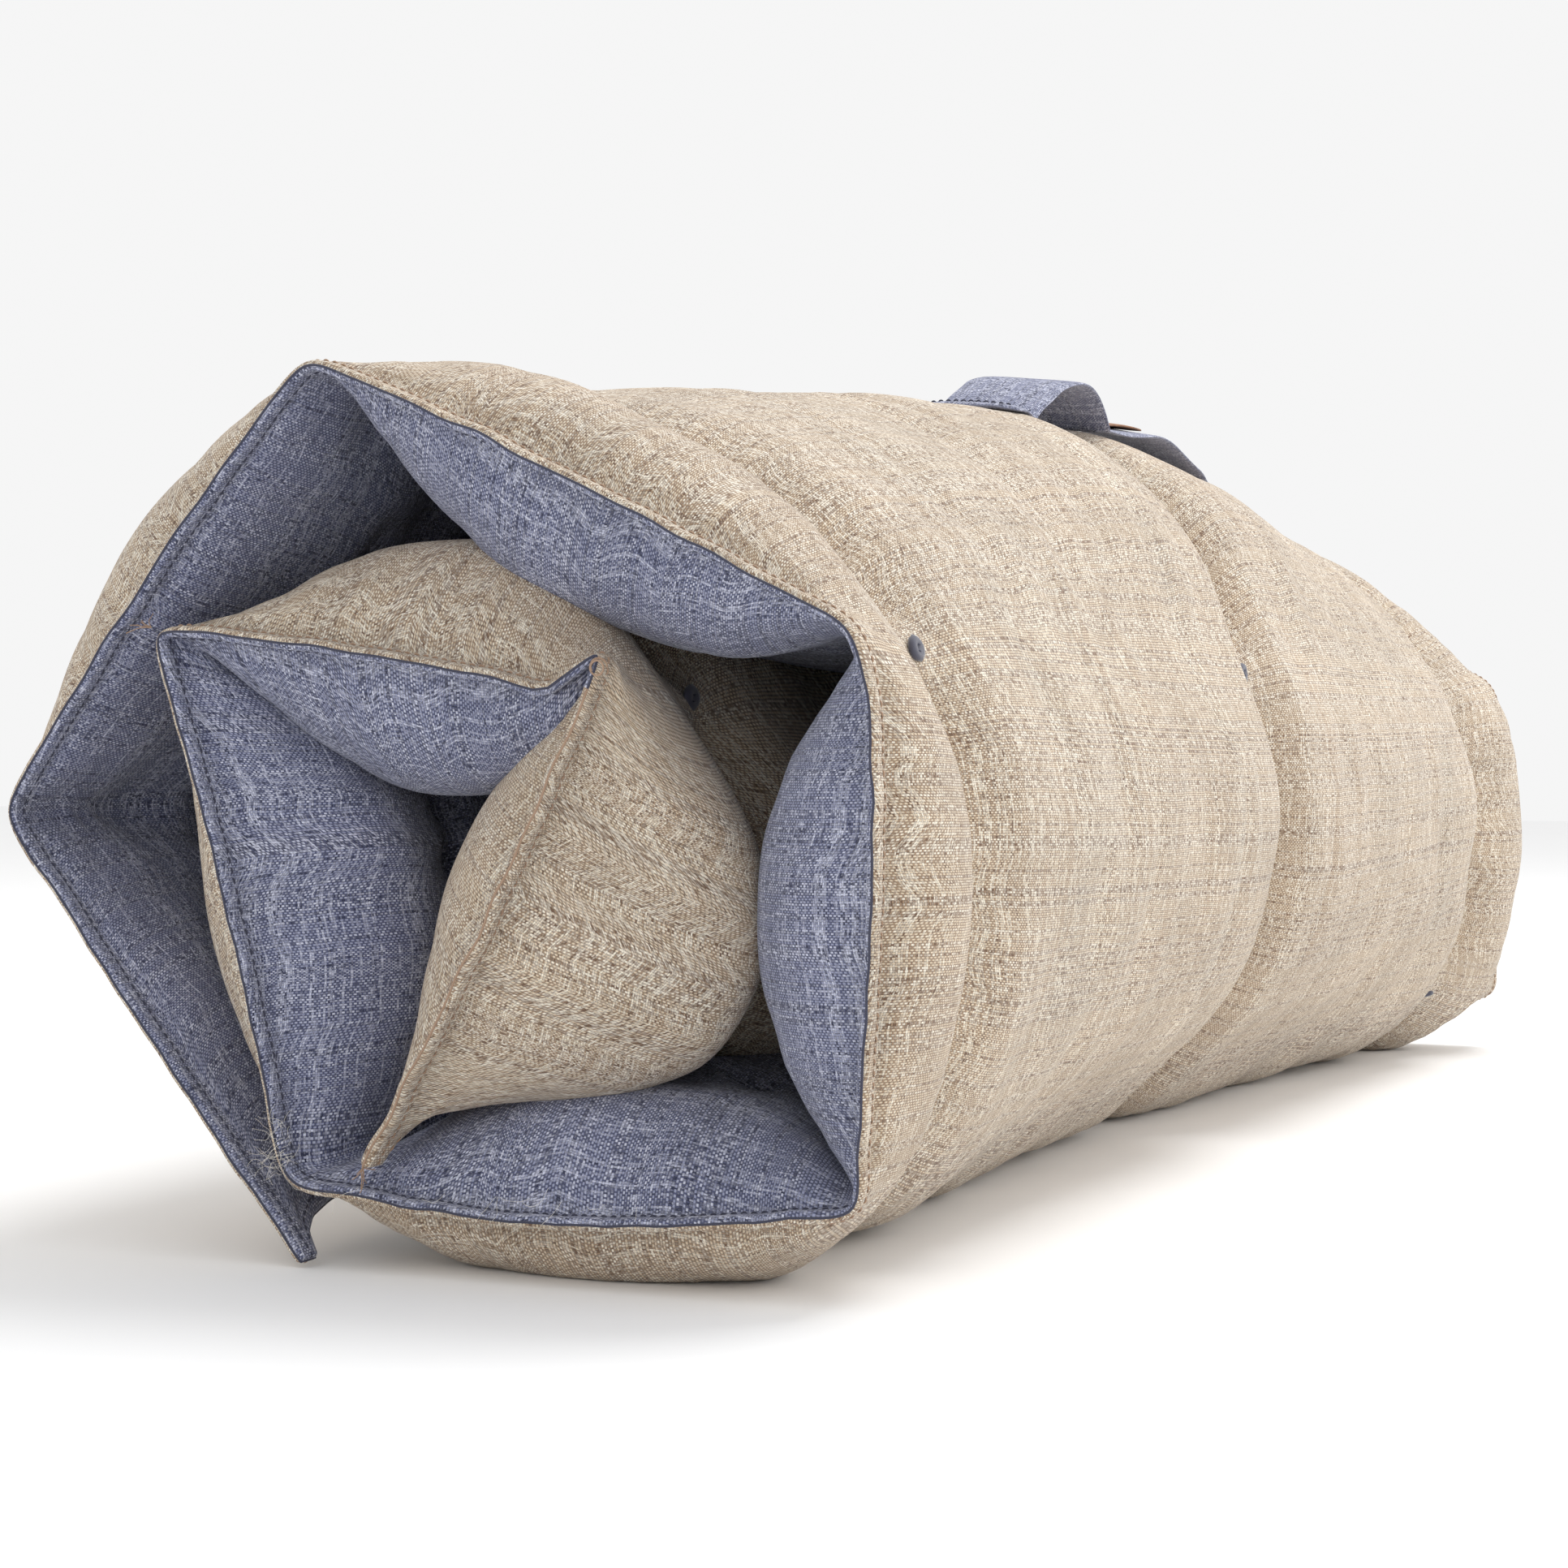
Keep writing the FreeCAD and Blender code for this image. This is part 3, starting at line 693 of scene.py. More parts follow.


# Threads dipping under one another get painted shade, darker the higher the gap setting.
def cloth_material(name, warp, weft, pale, dark, threads=1300.0, gap_shade=0.62, sheen=0.2):
    material = bpy.data.materials.new(name)
    material.use_nodes = True
    bench = Bench(material.node_tree)
    grain = bench.node("ShaderNodeUVMap", uv_map="grain").outputs[0]
    weave = bench.node("ShaderNodeGroup", node_tree=WEAVE)
    for socket, value in (("Grain", grain), ("Threads per metre", threads), ("Warp", warp),
                          ("Weft", weft), ("Pale thread", pale), ("Dark thread", dark),
                          ("Gap shade", gap_shade)):
        bench.feed(weave.inputs[socket], value)
    worn = bench.range(bench.noise(grain, 22.0, 4.0, 0.55), 0.3, 0.7, 0.90, 1.07)
    colour = bench.mix(1.0, weave.outputs["Colour"], bench.place(worn, worn, worn), "MULTIPLY")
    fuzz = bench.noise(grain, 2600.0, 2.0, 0.7)
    relief = bench.math("ADD", weave.outputs["Height"], bench.math("MULTIPLY", fuzz, 0.6))
    surfaced(bench, relief, 0.55, 0.0003,
             {"Base Color": colour, "Roughness": 0.92, "Specular IOR Level": 0.25,
              "Sheen Weight": sheen, "Sheen Roughness": 0.6})
    return material


# The beige weave's painted shade in its hollows is a little lighter than the blue's.
beige_linen = cloth_material("beige_linen", tone(222, 204, 179), tone(168, 142, 117),
                             tone(248, 239, 223), tone(122, 95, 76), gap_shade=0.6)
blue_linen = cloth_material("blue_linen", tone(152, 157, 185), tone(84, 89, 120),
                            tone(208, 211, 230), tone(52, 56, 82))

HINGED = {1: ("panel_1", "panel_2"), 2: ("panel_2", "panel_3"), 3: ("panel_3", "core")}


def body_of_panel(panel):
    return "panel_%d" % panel if panel <= len(HINGED) else "core"


def rest_on_body(piece, kind, number):
    """A panel's piece rides on its body, a piece over an unhinged fold on the core, and a piece over a
    hinged fold is only baked in place.
    """
    if kind == "panel":
        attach(piece, body_of_panel(number))
    elif number not in HINGED:
        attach(piece, "core")
    else:
        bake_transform(piece)


for (kind, number, side), (points, u, v) in pieces_of_cloth.items():
    name = "%s_%d_%s_%s" % (kind, number, side, "pad" if kind == "panel" else "turn")
    piece = cloth_piece(name, points, u, v, side == "inner")
    beige = side == "outer" or number == PANELS
    piece.data.materials.append(beige_linen if beige else blue_linen)
    rest_on_body(piece, kind, number)
    if kind == "panel":
        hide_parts("panel_%d_%s_cover" % (number, side))
        if side == "outer":
            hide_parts("panel_%d_wool_filling" % number)


# ---- The sewing thread -------------------------------------------------------------------------
# Waxed thread, dark on the blue cloth and brown on the beige: one line closes the edge where the
# two cloths meet, and topstitches run beside it at the ends of every panel and at the free ends.
STITCH_PITCH = 0.0034
STITCH_SHOWN = 0.0024
THREAD_HALF = 0.00034
STITCH_INSET = 0.0048
EDGE_THREAD_HALF = 0.00042
HEM_COLUMN = LIP_ROWS.index(STITCH_INSET)


def tube(path, radius, sides=6):
    """Rings of points round a path."""
    path = np.asarray(path, float)
    way = unit(np.gradient(path, axis=0))
    guide = np.array((0.31, 0.17, 0.93))
    first = unit(np.cross(way, guide))
    second = np.cross(way, first)
    turns = np.linspace(0, 2 * math.pi, sides, endpoint=False)
    radii = np.broadcast_to(np.asarray(radius, float), (len(path),))
    turned_first = np.cos(turns)[None, :, None] * first[:, None]
    ring = turned_first + np.sin(turns)[None, :, None] * second[:, None]
    return path[:, None] + ring * radii[:, None, None]


def tubes_mesh(name, tubes, inks=None):
    """One mesh of many closed tubes, each in the material whose number stands in inks."""
    vertices, faces, numbers = [], [], []
    for tube_number, rings in enumerate(tubes):
        base = len(vertices)
        count, sides = rings.shape[:2]
        vertices += rings.reshape(-1, 3).tolist()
        for ring in range(count - 1):
            for side_number in range(sides):
                after = (side_number + 1) % sides
                faces.append((base + ring * sides + side_number, base + ring * sides + after,
                              base + (ring + 1) * sides + after,
                              base + (ring + 1) * sides + side_number))
        faces.append(tuple(base + side_number for side_number in reversed(range(sides))))
        last = base + (count - 1) * sides
        faces.append(tuple(last + side_number for side_number in range(sides)))
        numbers += [inks[tube_number] if inks else 0] * (len(faces) - len(numbers))
    mesh = bpy.data.meshes.new(name)
    mesh.from_pydata(vertices, [], faces)
    mesh.polygons.foreach_set("material_index", numbers)
    mesh.polygons.foreach_set("use_smooth", [True] * len(mesh.polygons))
    return placed(name, mesh)


def stitches_along(path, outward):
    """Tubes for a row of stitches on cloth: each rises out of its hole and dips into the next."""
    lengths = np.concatenate(([0.0], np.cumsum(np.linalg.norm(np.diff(path, axis=0), axis=1))))
    made = []
    centre = STITCH_PITCH / 2
    while centre + STITCH_SHOWN / 2 < lengths[-1]:
        shares = np.linspace(-0.5, 0.5, 5)
        at = centre + shares * STITCH_SHOWN
        line = np.stack([np.interp(at, lengths, path[:, axis]) for axis in range(3)], axis=1)
        lift = np.stack([np.interp(at, lengths, outward[:, axis]) for axis in range(3)], axis=1)
        arch = THREAD_HALF * (1.1 - 7.0 * shares ** 2)
        line = line + unit(lift) * arch[:, None]
        made.append(tube(line, THREAD_HALF * np.array((0.55, 1.0, 1.08, 1.0, 0.55))))
        centre += STITCH_PITCH
    return made


def thread_material(name, colour, pale, sheen):
    material = bpy.data.materials.new(name)
    material.use_nodes = True
    bench = Bench(material.node_tree)
    place = bench.node("ShaderNodeTexCoord").outputs["Object"]
    fibre = bench.noise(place, 3200.0, 2.0, 0.6)
    twist = bench.node("ShaderNodeTexWave", wave_type="BANDS", bands_direction="DIAGONAL")
    bench.feed(twist.inputs["Vector"], place)
    bench.feed(twist.inputs["Scale"], 900.0)
    bench.feed(twist.inputs["Distortion"], 1.5)
    share = bench.math("MULTIPLY", bench.math("ADD", fibre, twist.outputs["Fac"]), 0.5)
    surfaced(bench, share, 0.5, 0.0001,
             {"Base Color": bench.mix(share, colour, pale), "Sheen Weight": sheen,
              "Roughness": bench.range(fibre, 0.2, 0.8, 0.55, 0.85)})
    return material


dark_thread = thread_material("dark_thread", tone(30, 32, 46), tone(74, 76, 98), 0.15)
brown_thread = thread_material("brown_thread", tone(142, 112, 90), tone(186, 158, 134), 0.15)
DARK, BROWN = 0, 1


def row_at(distance, end):
    """Number of the row of points nearest to that distance from one end of the roll."""
    return int(np.abs(rows - end * (ROLL_HALF - distance)).argmin())


def cloth_normals(points, side):
    across = np.gradient(points, axis=1)
    along = np.gradient(points, axis=0)
    normal = unit(np.cross(across, along))
    return normal if side == "outer" else -normal


for kind, count in (("panel", PANELS), ("fold", PANELS - 1)):
    for number in range(1, count + 1):
        made, inks = [], []
        for side in ("outer", "inner"):
            points = pieces_of_cloth[kind, number, side][0]
            normals = cloth_normals(points, side)
            for end in (-1, 1):
                row = row_at(STITCH_INSET, end)
                made += stitches_along(points[row], normals[row])
            on_beige = side == "outer" or number == PANELS
            inks += [BROWN if on_beige else DARK] * (len(made) - len(inks))
        for end in (0, -1):
            outer_edge = pieces_of_cloth[kind, number, "outer"][0][end]
            inner_edge = pieces_of_cloth[kind, number, "inner"][0][end]
            made.append(tube((outer_edge + inner_edge) / 2, EDGE_THREAD_HALF))
            inks.append(BROWN if number == PANELS else DARK)
        name = "%s_%d_end_stitches" % (kind, number)
        piece = tubes_mesh(name, made, inks)
        piece.data.materials.append(dark_thread)
        piece.data.materials.append(brown_thread)
        rest_on_body(piece, kind, number)
        if kind == "panel":
            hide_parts("panel_%d_edge_topstitch" % number)

for name, panel, column_end, node in (("outer_hem_stitches", 1, 0, "outer_hem_topstitch"),
                                      ("inner_hem_stitches", PANELS, -1, "inner_hem_topstitch")):
    made, inks = [], []
    held = slice(row_at(LIP, -1), row_at(LIP, 1) + 1)
    for side in ("outer", "inner"):
        points = pieces_of_cloth["panel", panel, side][0]
        normals = cloth_normals(points, side)
        column = HEM_COLUMN if column_end == 0 else -1 - HEM_COLUMN
        made += stitches_along(points[held, column], normals[held, column])
        inks += [BROWN if side == "outer" or panel == PANELS else DARK] * (len(made) - len(inks))
    edges = [pieces_of_cloth["panel", panel, side][0][:, column_end] for side in ("outer", "inner")]
    made.append(tube((edges[0] + edges[1]) / 2, EDGE_THREAD_HALF))
    inks.append(BROWN if panel == PANELS else DARK)
    piece = tubes_mesh(name, made, inks)
    piece.data.materials.append(dark_thread)
    piece.data.materials.append(brown_thread)
    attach(piece, body_of_panel(panel))
    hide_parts(node)


# ---- The tufts ---------------------------------------------------------------------------------
# A small button of dark felt on the outer cloth at each tuft, held by two bars of waxed thread
# that goes down to the fold. Its knot on the inner side isn't made here.
felt = thread_material("button_felt", tone(38, 40, 54), tone(86, 86, 104), 0.4)
BUTTON_SIDES = 28
BUTTON_RADIUS = 0.0045
BUTTON_THICK = 0.0024
BUTTON_STRETCH = 1.12     # a little longer along the roll than round it
BUTTON_DIP = 0.35         # how far its middle is stitched down, as a share of its thickness
# Its outline from the top to the underside, in shares of its radius and thickness.
button_profile = ((0.0, 0.62), (0.55, 0.60), (0.86, 0.42), (1.0, 0.0), (0.9, -0.40), (0.6, -0.55),
                  (0.0, -0.6))
TIE_HALF = 0.0003         # the two short bars of thread on the button
TIE_ASIDE = 0.0011        # from the button's middle to each bar
TIE_SLANT = 0.4
# Places along a bar, and its height over the button's middle there.
bar_shape = ((-0.0013, 0.0002), (-0.0007, 0.0012), (0.0007, 0.0012), (0.0013, 0.0002))
THROUGH_HALF = 0.0005     # the thread that goes through the fold


def felt_button(centre, axis, radius, thick, seed):
    """A domed felt button with a stitched-down middle, as rings of points."""
    chance = np.random.default_rng(seed)
    side_way = unit(np.cross(axis, np.array((0.0, 1.0, 0.0))))
    rings = []
    for share, rise in button_profile:
        turns = np.linspace(0, 2 * math.pi, BUTTON_SIDES, endpoint=False)
        lobes = 0.05 * np.sin(3 * turns + chance.uniform(0, 6))
        rough = 1 + lobes + 0.02 * chance.normal(size=BUTTON_SIDES)
        reach = np.maximum(share, 0.06) * radius * rough
        dip = -BUTTON_DIP * thick * math.exp(-(share / 0.3) ** 2) if rise > 0 else 0.0
        ring = (centre + axis * (rise * thick + dip)
                + np.cos(turns)[:, None] * reach[:, None] * np.array((0.0, 1.0, 0.0)) * BUTTON_STRETCH
                + np.sin(turns)[:, None] * reach[:, None] * side_way)
        rings.append(ring)
    return np.array(rings)


for fold in FOLDS:
    buttons, ties = [], []
    for number in range(len(TUFT_ROWS)):
        centre, foot, axis = tuft_seats[fold, number]
        buttons.append(felt_button(centre, axis, BUTTON_RADIUS, BUTTON_THICK, 10 * fold + number))
        for shift in (-TIE_ASIDE, TIE_ASIDE):
            bar = np.array([centre + axis * lift + np.array((0, shift * TIE_SLANT + reach, 0))
                            for reach, lift in bar_shape])
            ties.append(tube(bar + unit(np.cross(axis, (0, 1, 0))) * shift, TIE_HALF))
        ties.append(tube(np.linspace(centre, foot, 5), THROUGH_HALF))
    button_piece = tubes_mesh("fold_%d_buttons" % fold, buttons)
    button_piece.data.materials.append(felt)
    tie_piece = tubes_mesh("fold_%d_ties" % fold, ties)
    tie_piece.data.materials.append(dark_thread)
    body = "panel_%d" % (fold + 1) if fold in (1, 2) else "core"
    for piece, slot in ((button_piece, "tuft_button"), (tie_piece, "thread")):
        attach(piece, body)
    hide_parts("fold_%d_tuft_buttons" % fold)
    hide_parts("fold_%d_tie_threads" % fold)


# ---- The carry strap ---------------------------------------------------------------------------
# A folded band of the blue cloth, sewn down at both ends on the top panel. It stands up in a tall
# arch for the hand and in a low one, over which a plain leather patch is sewn.
STRAP_STEP = 0.002
STRAP_SIDES = 26
STRAP_TAB = 0.022         # sewn-down length at each end
STRAP_LIFT = 0.0004
STRAP_LET_GO = (-0.004, 0.03)    # where the free part starts and is quite free, from the tab's end
STRAP_LOOSE = (0.018, 0.05)      # where it starts to wave and waves fully, from the strap's end
STRAP_SQUARE = 0.35              # powers that turn a round ring into the band's flat one
STRAP_EDGE = 0.8
STRAP_CUP = 0.0016               # how far its edges curl up, and how often over its length
CUP_WAVE = 61
STRAP_LEAN = 0.0010              # how far it leans to one side, and how often
LEAN_WAVE = 38
STRAP_DRAW = 0.045               # how much narrower it is pulled, and how often
DRAW_WAVE = 30
strap_points = np.array([v.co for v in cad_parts["carry_strap"].data.vertices])
strap_low, strap_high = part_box("carry_strap")
strap_start, strap_end = strap_low[1], strap_high[1]
near_corners = strap_points[strap_points[:, 1] < strap_start + SAME_PLACE]
left_most = near_corners[:, 0] < near_corners[:, 0].mean()
strap_across = unit(near_corners[~left_most].mean(axis=0) - near_corners[left_most].mean(axis=0))
strap_out = np.array((-strap_across[2], 0.0, strap_across[0]))
reach = strap_points @ strap_across
strap_width = reach.max() - reach.min()
strap_middle = (reach.max() + reach.min()) / 2
stand = strap_points @ strap_out
strap_thick = np.ptp(near_corners @ strap_out)
places = np.unique(np.round(strap_points[:, 1], 4))
arch = np.array([stand[np.abs(strap_points[:, 1] - y) < SAME_PLACE].min() for y in places])
arch -= arch.min()
between = (places > strap_start + 2 * STRAP_TAB) & (places < strap_end - 2 * STRAP_TAB)
strap_dip = places[between][arch[between].argmin()]
top_cloth = pieces_of_cloth["panel", 3, "outer"][0]
top_places = top_cloth @ strap_across
top_heights = top_cloth @ strap_out


def cloth_under(y, across):
    """Height of the panel's cloth under a place on the strap, along the strap's own way out."""
    row = np.clip(np.searchsorted(rows, y), 1, len(rows) - 1)
    share = (y - rows[row - 1]) / (rows[row] - rows[row - 1])
    low, high = [np.interp(across, top_places[r], top_heights[r]) for r in (row - 1, row)]
    return low + (high - low) * share


held_at = (strap_start + STRAP_TAB, strap_dip, strap_end - STRAP_TAB)
held_heights = [cloth_under(y, strap_middle) for y in held_at]


def strap_place(y, across_share, above):
    """A point on the strap: along the roll, across its width, and above its underside."""
    across = strap_middle + across_share * strap_width
    past_tab = min(y - strap_start, strap_end - y) - STRAP_TAB
    free = float(smooth_step(past_tab, *STRAP_LET_GO))
    under = cloth_under(y, across)
    chord = np.interp(y, held_at, held_heights)
    base = max(under, under + (chord - under) * free + np.interp(y, places, arch))
    return (strap_across * across + strap_out * (base + STRAP_LIFT + above)
            + np.array((0.0, y, 0.0)))


def flattened(turns, across_power, height_power):
    """A ring's places across and in height, from -1 to 1: the lower the powers, the squarer."""
    across, height = np.cos(turns), np.sin(turns)
    return (np.sign(across) * np.abs(across) ** across_power,
            np.sign(height) * np.abs(height) ** height_power)


def strap_rings():
    rings, grain = [], []
    count = int(round((strap_end - strap_start) / STRAP_STEP))
    for y in np.linspace(strap_start, strap_end, count + 1):
        from_end = min(y - strap_start, strap_end - y)
        free = float(smooth_step(from_end, *STRAP_LOOSE))
        turns = np.linspace(0, 2 * math.pi, STRAP_SIDES, endpoint=False)
        flat, thick = flattened(turns, STRAP_SQUARE, STRAP_EDGE)
        closed = float(smooth_step(from_end, -0.0001, 0.0012))
        cup = STRAP_CUP * free * (flat ** 2) * math.sin(y * CUP_WAVE)
        lean = STRAP_LEAN * free * flat * math.sin(y * LEAN_WAVE + 1.0)
        above = strap_thick * (0.5 + 0.5 * thick * (0.25 + 0.75 * closed)) + cup + lean
        draw = 1.0 - STRAP_DRAW * free * abs(math.sin(y * DRAW_WAVE))
        rings.append([strap_place(y, 0.5 * share * draw, lift) for share, lift in zip(flat, above)])
    return np.array(rings)


strap_mesh_rings = strap_rings()
strap = tubes_mesh("strap_band", [strap_mesh_rings])


def wrap_grain(piece, rings):
    """UVs in metres for a mesh made of rings, along it and round it."""
    around = np.linalg.norm(np.diff(np.concatenate((rings, rings[:, :1]), axis=1), axis=1), axis=2)
    round_places = np.concatenate((np.zeros((len(rings), 1)), np.cumsum(around, axis=1)), axis=1)[:, :-1]
    steps = np.linalg.norm(np.diff(rings, axis=0), axis=2).mean(axis=1)
    along_places = np.concatenate(([0.0], np.cumsum(steps)))
    u = round_places.reshape(-1)
    v = np.repeat(along_places, rings.shape[1])
    layer = piece.data.uv_layers.new(name="grain")
    for polygon in piece.data.polygons:
        corner_u = [u[index] for index in polygon.vertices]
        wraps = max(corner_u) - min(corner_u) > round_places.max() / 2
        for loop_index, index in zip(polygon.loop_indices, polygon.vertices):
            whole = round_places.max() if wraps and u[index] < round_places.max() / 2 else 0.0
            layer.data[loop_index].uv = (u[index] + whole, v[index])


wrap_grain(strap, strap_mesh_rings)
strap.data.materials.append(blue_linen)
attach(strap, "panel_3")
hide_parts("carry_strap")

strap_seams = []
STRAP_SEAM_INSETS = (0.004, 0.018)
STRAP_SEAM_HALF = 0.42    # share of the strap's width
seam_places = ([strap_start + inset for inset in STRAP_SEAM_INSETS]
               + [strap_end - inset for inset in reversed(STRAP_SEAM_INSETS)])
for y in seam_places:
    shares = np.linspace(-STRAP_SEAM_HALF, STRAP_SEAM_HALF, 24)
    line = np.array([strap_place(y, share, strap_thick) for share in shares])
    strap_seams += stitches_along(line, np.broadcast_to(strap_out, line.shape))
strap_sewing = tubes_mesh("strap_stitches", strap_seams)
strap_sewing.data.materials.append(dark_thread)
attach(strap_sewing, "panel_3")
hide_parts("strap_stitching")


# ---- The leather patch -------------------------------------------------------------------------
# A plain piece of tan leather with cut corners and a thinned rim, bent over the strap's low
# arch. Nothing is printed or pressed into it.
patch_low, patch_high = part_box("leather_patch")
PATCH_THICK = 0.0014
PATCH_LIFT = 0.0003
PATCH_HALF_WIDTH = 0.36   # share of the strap's width
PATCH_CORNERS = 0.86      # its corners are cut from here on, as a share of its half length
PATCH_CUT = 0.45
PATCH_RIM = 0.93          # and its rim is thinned from here on
PATCH_THINNING = 0.35
PATCH_ROWS = 22
PATCH_COLUMNS = 28
patch_middle = (patch_low[1] + patch_high[1]) / 2
patch_half = (patch_high[1] - patch_low[1]) / 2


def patch_rings():
    """Closed outlines across the patch, from its near edge to its far one."""
    rings = []
    for row in range(PATCH_ROWS + 1):
        share = 2 * row / PATCH_ROWS - 1
        corner = 1.0 - max(0.0, abs(share) - PATCH_CORNERS) * PATCH_CUT
        rim = 1.0 - max(0.0, abs(share) - PATCH_RIM) / (1 - PATCH_RIM) * PATCH_THINNING
        y = patch_middle + share * patch_half
        turns = np.linspace(0, 2 * math.pi, PATCH_COLUMNS, endpoint=False)
        flat, thick = flattened(turns, 0.3, 0.6)
        above = strap_thick + PATCH_LIFT + PATCH_THICK * (0.5 + 0.5 * thick * rim)
        rings.append([strap_place(y, PATCH_HALF_WIDTH * across * corner, lift)
                      for across, lift in zip(flat, above)])
    return np.array(rings)


def leather_material():
    material = bpy.data.materials.new("tan_leather")
    material.use_nodes = True
    bench = Bench(material.node_tree)
    place = bench.node("ShaderNodeTexCoord").outputs["Object"]
    grain = bench.node("ShaderNodeTexVoronoi", feature="DISTANCE_TO_EDGE")
    bench.feed(grain.inputs["Vector"], place)
    bench.feed(grain.inputs["Scale"], 900.0)
    pores = bench.range(grain.outputs["Distance"], 0.0, 0.22)
    cloud = bench.noise(place, 130.0, 5.0, 0.6)
    base = bench.mix(bench.range(cloud, 0.3, 0.7), tone(122, 82, 52), tone(170, 122, 84))
    colour = bench.mix(bench.range(pores, 0.0, 1.0, 0.35, 0.0), base, tone(80, 50, 32))
    relief = bench.math("ADD", pores, bench.math("MULTIPLY", cloud, 0.6))
    surfaced(bench, relief, 0.5, 0.0002,
             {"Base Color": colour, "Roughness": bench.range(cloud, 0.2, 0.8, 0.5, 0.72)})
    return material


patch = tubes_mesh("leather_tab", [patch_rings()])
patch.data.materials.append(leather_material())
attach(patch, "panel_3")
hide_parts("leather_patch")


# ---- Loose ends --------------------------------------------------------------------------------
# What a sewn thing sheds at its corners: a curled-up thread end at the inmost fold, frayed cloth
# threads, and wisps of wool that work their way out of the edge and hang under it.
WOOL_HALF = 0.00005
FRAY_HALF = 0.00016
CURL_HALF = 0.00034
CURL_OFFSET = (-0.002, -0.0022, -0.0075)     # from the inmost fold's corner to the curl's middle
CURL_RADII = (0.0030, 0.0018)                # at its start and its end
FRAYS = 7
FRAY_SPREAD = 0.45
CORNER_WISPS = 34
EDGE_WISPS = 9
CORNER_SEED = 500
EDGE_SEED = 700


def wandering(start, way, length, curl, seed):
    """A fine path that leaves its start in one way and curls more and more."""
    chance = np.random.default_rng(seed)
    points, heading = [np.array(start, float)], unit(np.array(way, float))
    steps = 14
    turn = chance.normal(size=3)
    for _ in range(steps):
        turn = 0.75 * turn + 0.25 * chance.normal(size=3)
        heading = unit(heading + curl * turn / steps * 4)
        points.append(points[-1] + heading * length / steps)
    return np.array(points)


def fold_corner(fold):
    """A fold's or free end's corner at the near end of the roll."""
    return np.array((fold_lines[fold, 0, 0], rows[0], fold_lines[fold, 0, 1]))


CURL_TURNS = np.linspace(0, 3.2 * math.pi, 34)
curl_middle = fold_corner(PANELS - 1) + np.array(CURL_OFFSET)
curl_reach = np.linspace(*CURL_RADII, len(CURL_TURNS))
curl = curl_middle + np.stack((curl_reach * np.cos(CURL_TURNS), -0.00005 * np.arange(len(CURL_TURNS)),
                               curl_reach * np.sin(CURL_TURNS)), axis=1)
frays = [tube(curl, CURL_HALF)]
for fold, way in ((PANELS - 2, (-0.8, -0.5, 0.2)), (PANELS, (-0.3, -0.4, -0.9))):
    for strand in range(FRAYS):
        spread = np.random.default_rng(20 * fold + strand).normal(size=3) * FRAY_SPREAD
        frays.append(tube(wandering(fold_corner(fold), np.array(way) + spread,
                                    0.003 + 0.0011 * strand, 0.5, strand), FRAY_HALF, 5))
fray_piece = tubes_mesh("frayed_threads", frays)
fray_piece.data.materials.append(brown_thread)

wool_white = thread_material("wool_fibre", tone(226, 220, 206), tone(246, 242, 232), 0.5)
low_corners = fold_corner(RESTING_PANEL), fold_corner(RESTING_PANEL + 1)
wisps = []
for strand in range(CORNER_WISPS):
    chance = np.random.default_rng(CORNER_SEED + strand)
    lift = (chance.normal() * 0.002, -0.0006, 0.002 + 0.017 * chance.random())
    way = (chance.normal() * 0.7 - 0.5, -0.5, chance.normal() * 0.8)
    path = wandering(low_corners[1] + np.array(lift), way, 0.006 + 0.010 * chance.random(), 2.2, strand)
    wisps.append(tube(path, WOOL_HALF, 4))
for strand in range(EDGE_WISPS):
    chance = np.random.default_rng(EDGE_SEED + strand)
    along_edge = chance.uniform(0.35, 0.9)
    edge_place = low_corners[1] * along_edge + low_corners[0] * (1 - along_edge)
    way = (chance.normal() * 0.6, -0.35, -0.9)
    path = wandering(edge_place + np.array((0, -0.0004, -0.001)), way,
                     0.008 + 0.008 * chance.random(), 1.8, 40 + strand)
    wisps.append(tube(path, WOOL_HALF, 4))
wisp_piece = tubes_mesh("wool_wisps", wisps)
wisp_piece.data.materials.append(wool_white)
for piece, slot in ((fray_piece, "thread"), (wisp_piece, "wool")):
    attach(piece, "core")


# ---- The floor, the light and the camera -------------------------------------------------------
# A pale studio floor that runs out into a bright surround, one broad soft light from above and
# behind, and a weaker one from the right.
FLOOR_HALF = 6.0
floor_mesh = bpy.data.meshes.new("studio_floor")
floor_corners = [(x * FLOOR_HALF, y * FLOOR_HALF, 0.0) for x, y in ((-1, -1), (1, -1), (1, 1), (-1, 1))]
floor_mesh.from_pydata(floor_corners, [], [(0, 1, 2, 3)])
floor = placed("studio_floor", floor_mesh)
floor_paint = bpy.data.materials.new("floor_paint")
floor_paint.use_nodes = True
floor_bench = Bench(floor_paint.node_tree)
floor_place = floor_bench.node("ShaderNodeTexCoord").outputs["Object"]
floor_cloud = floor_bench.noise(floor_place, 1.5, 3.0)
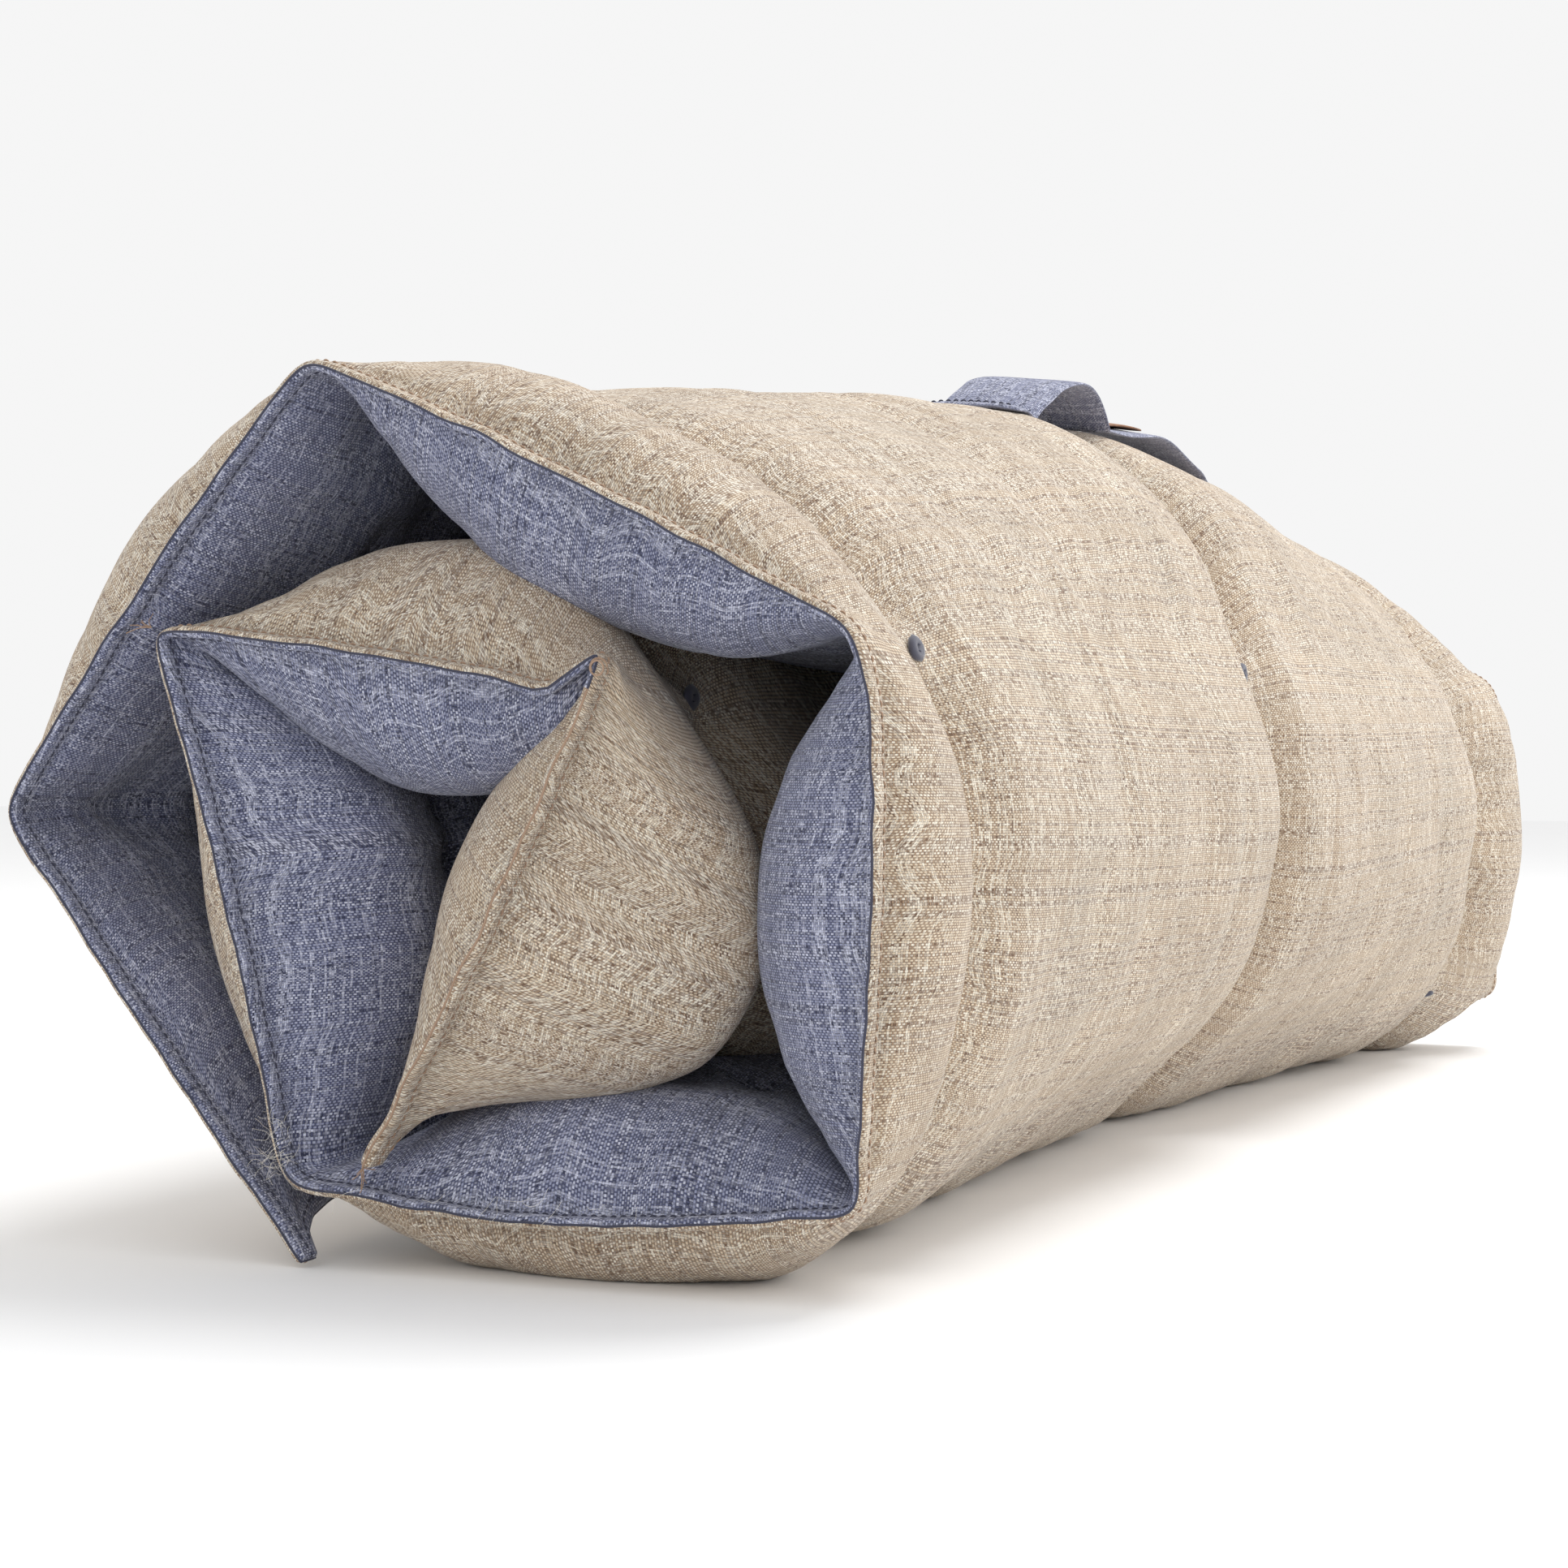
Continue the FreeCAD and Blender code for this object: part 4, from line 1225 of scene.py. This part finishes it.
floor_surface = floor_bench.node("ShaderNodeBsdfPrincipled")
floor_bench.feed(floor_surface.inputs["Base Color"],
                 floor_bench.mix(floor_cloud, tone(246, 246, 246), tone(250, 250, 250)))
floor_bench.feed(floor_surface.inputs["Roughness"], 0.9)
floor_bench.feed(floor_bench.node("ShaderNodeOutputMaterial").inputs["Surface"], floor_surface.outputs[0])
floor_mesh.materials.append(floor_paint)

scene = bpy.context.scene
scene.view_settings.view_transform = "Standard"
surround = bpy.data.worlds.new("studio_surround")
surround.use_nodes = True
surround.node_tree.nodes["Background"].inputs["Color"].default_value = (1.0, 1.0, 1.0, 1.0)
surround.node_tree.nodes["Background"].inputs["Strength"].default_value = 0.92
scene.world = surround


def soft_light(name, place, target, size, power):
    lamp = bpy.data.lights.new(name, "AREA")
    lamp.shape = "DISK"
    lamp.size = size
    lamp.energy = power
    stand = bpy.data.objects.new(name, lamp)
    scene.collection.objects.link(stand)
    stand.location = place
    stand.rotation_mode = "QUATERNION"
    stand.rotation_quaternion = (Vector(target) - Vector(place)).to_track_quat("-Z", "Y")


roll_middle = (0.0, 0.0, 0.15)
soft_light("key_light", (0.5, 0.7, 2.3), roll_middle, 1.3, 34.0)
soft_light("side_light", (2.4, 0.1, 1.3), roll_middle, 1.8, 12.0)

CAMERA_LENS = 70.8
CAMERA_BACK = 0.828       # from the roll's near end
CAMERA_SIDE = 0.555       # from the near fold of the resting panel
CAMERA_UP = 0.137         # above that fold
CAMERA_TURN = math.radians(24.6)
CAMERA_TILT = math.radians(-0.63)
resting_fold = fold_lines[RESTING_PANEL + 1, 0]
lens = bpy.data.cameras.new("camera")
lens.lens = CAMERA_LENS
lens.sensor_width = 36.0
lens.clip_start = 0.01
camera = bpy.data.objects.new("camera", lens)
scene.collection.objects.link(camera)
camera.location = (resting_fold[0] + CAMERA_SIDE, -ROLL_HALF - CAMERA_BACK, resting_fold[1] + CAMERA_UP)
camera.rotation_euler = (math.pi / 2 + CAMERA_TILT, 0.0, CAMERA_TURN)
scene.camera = camera
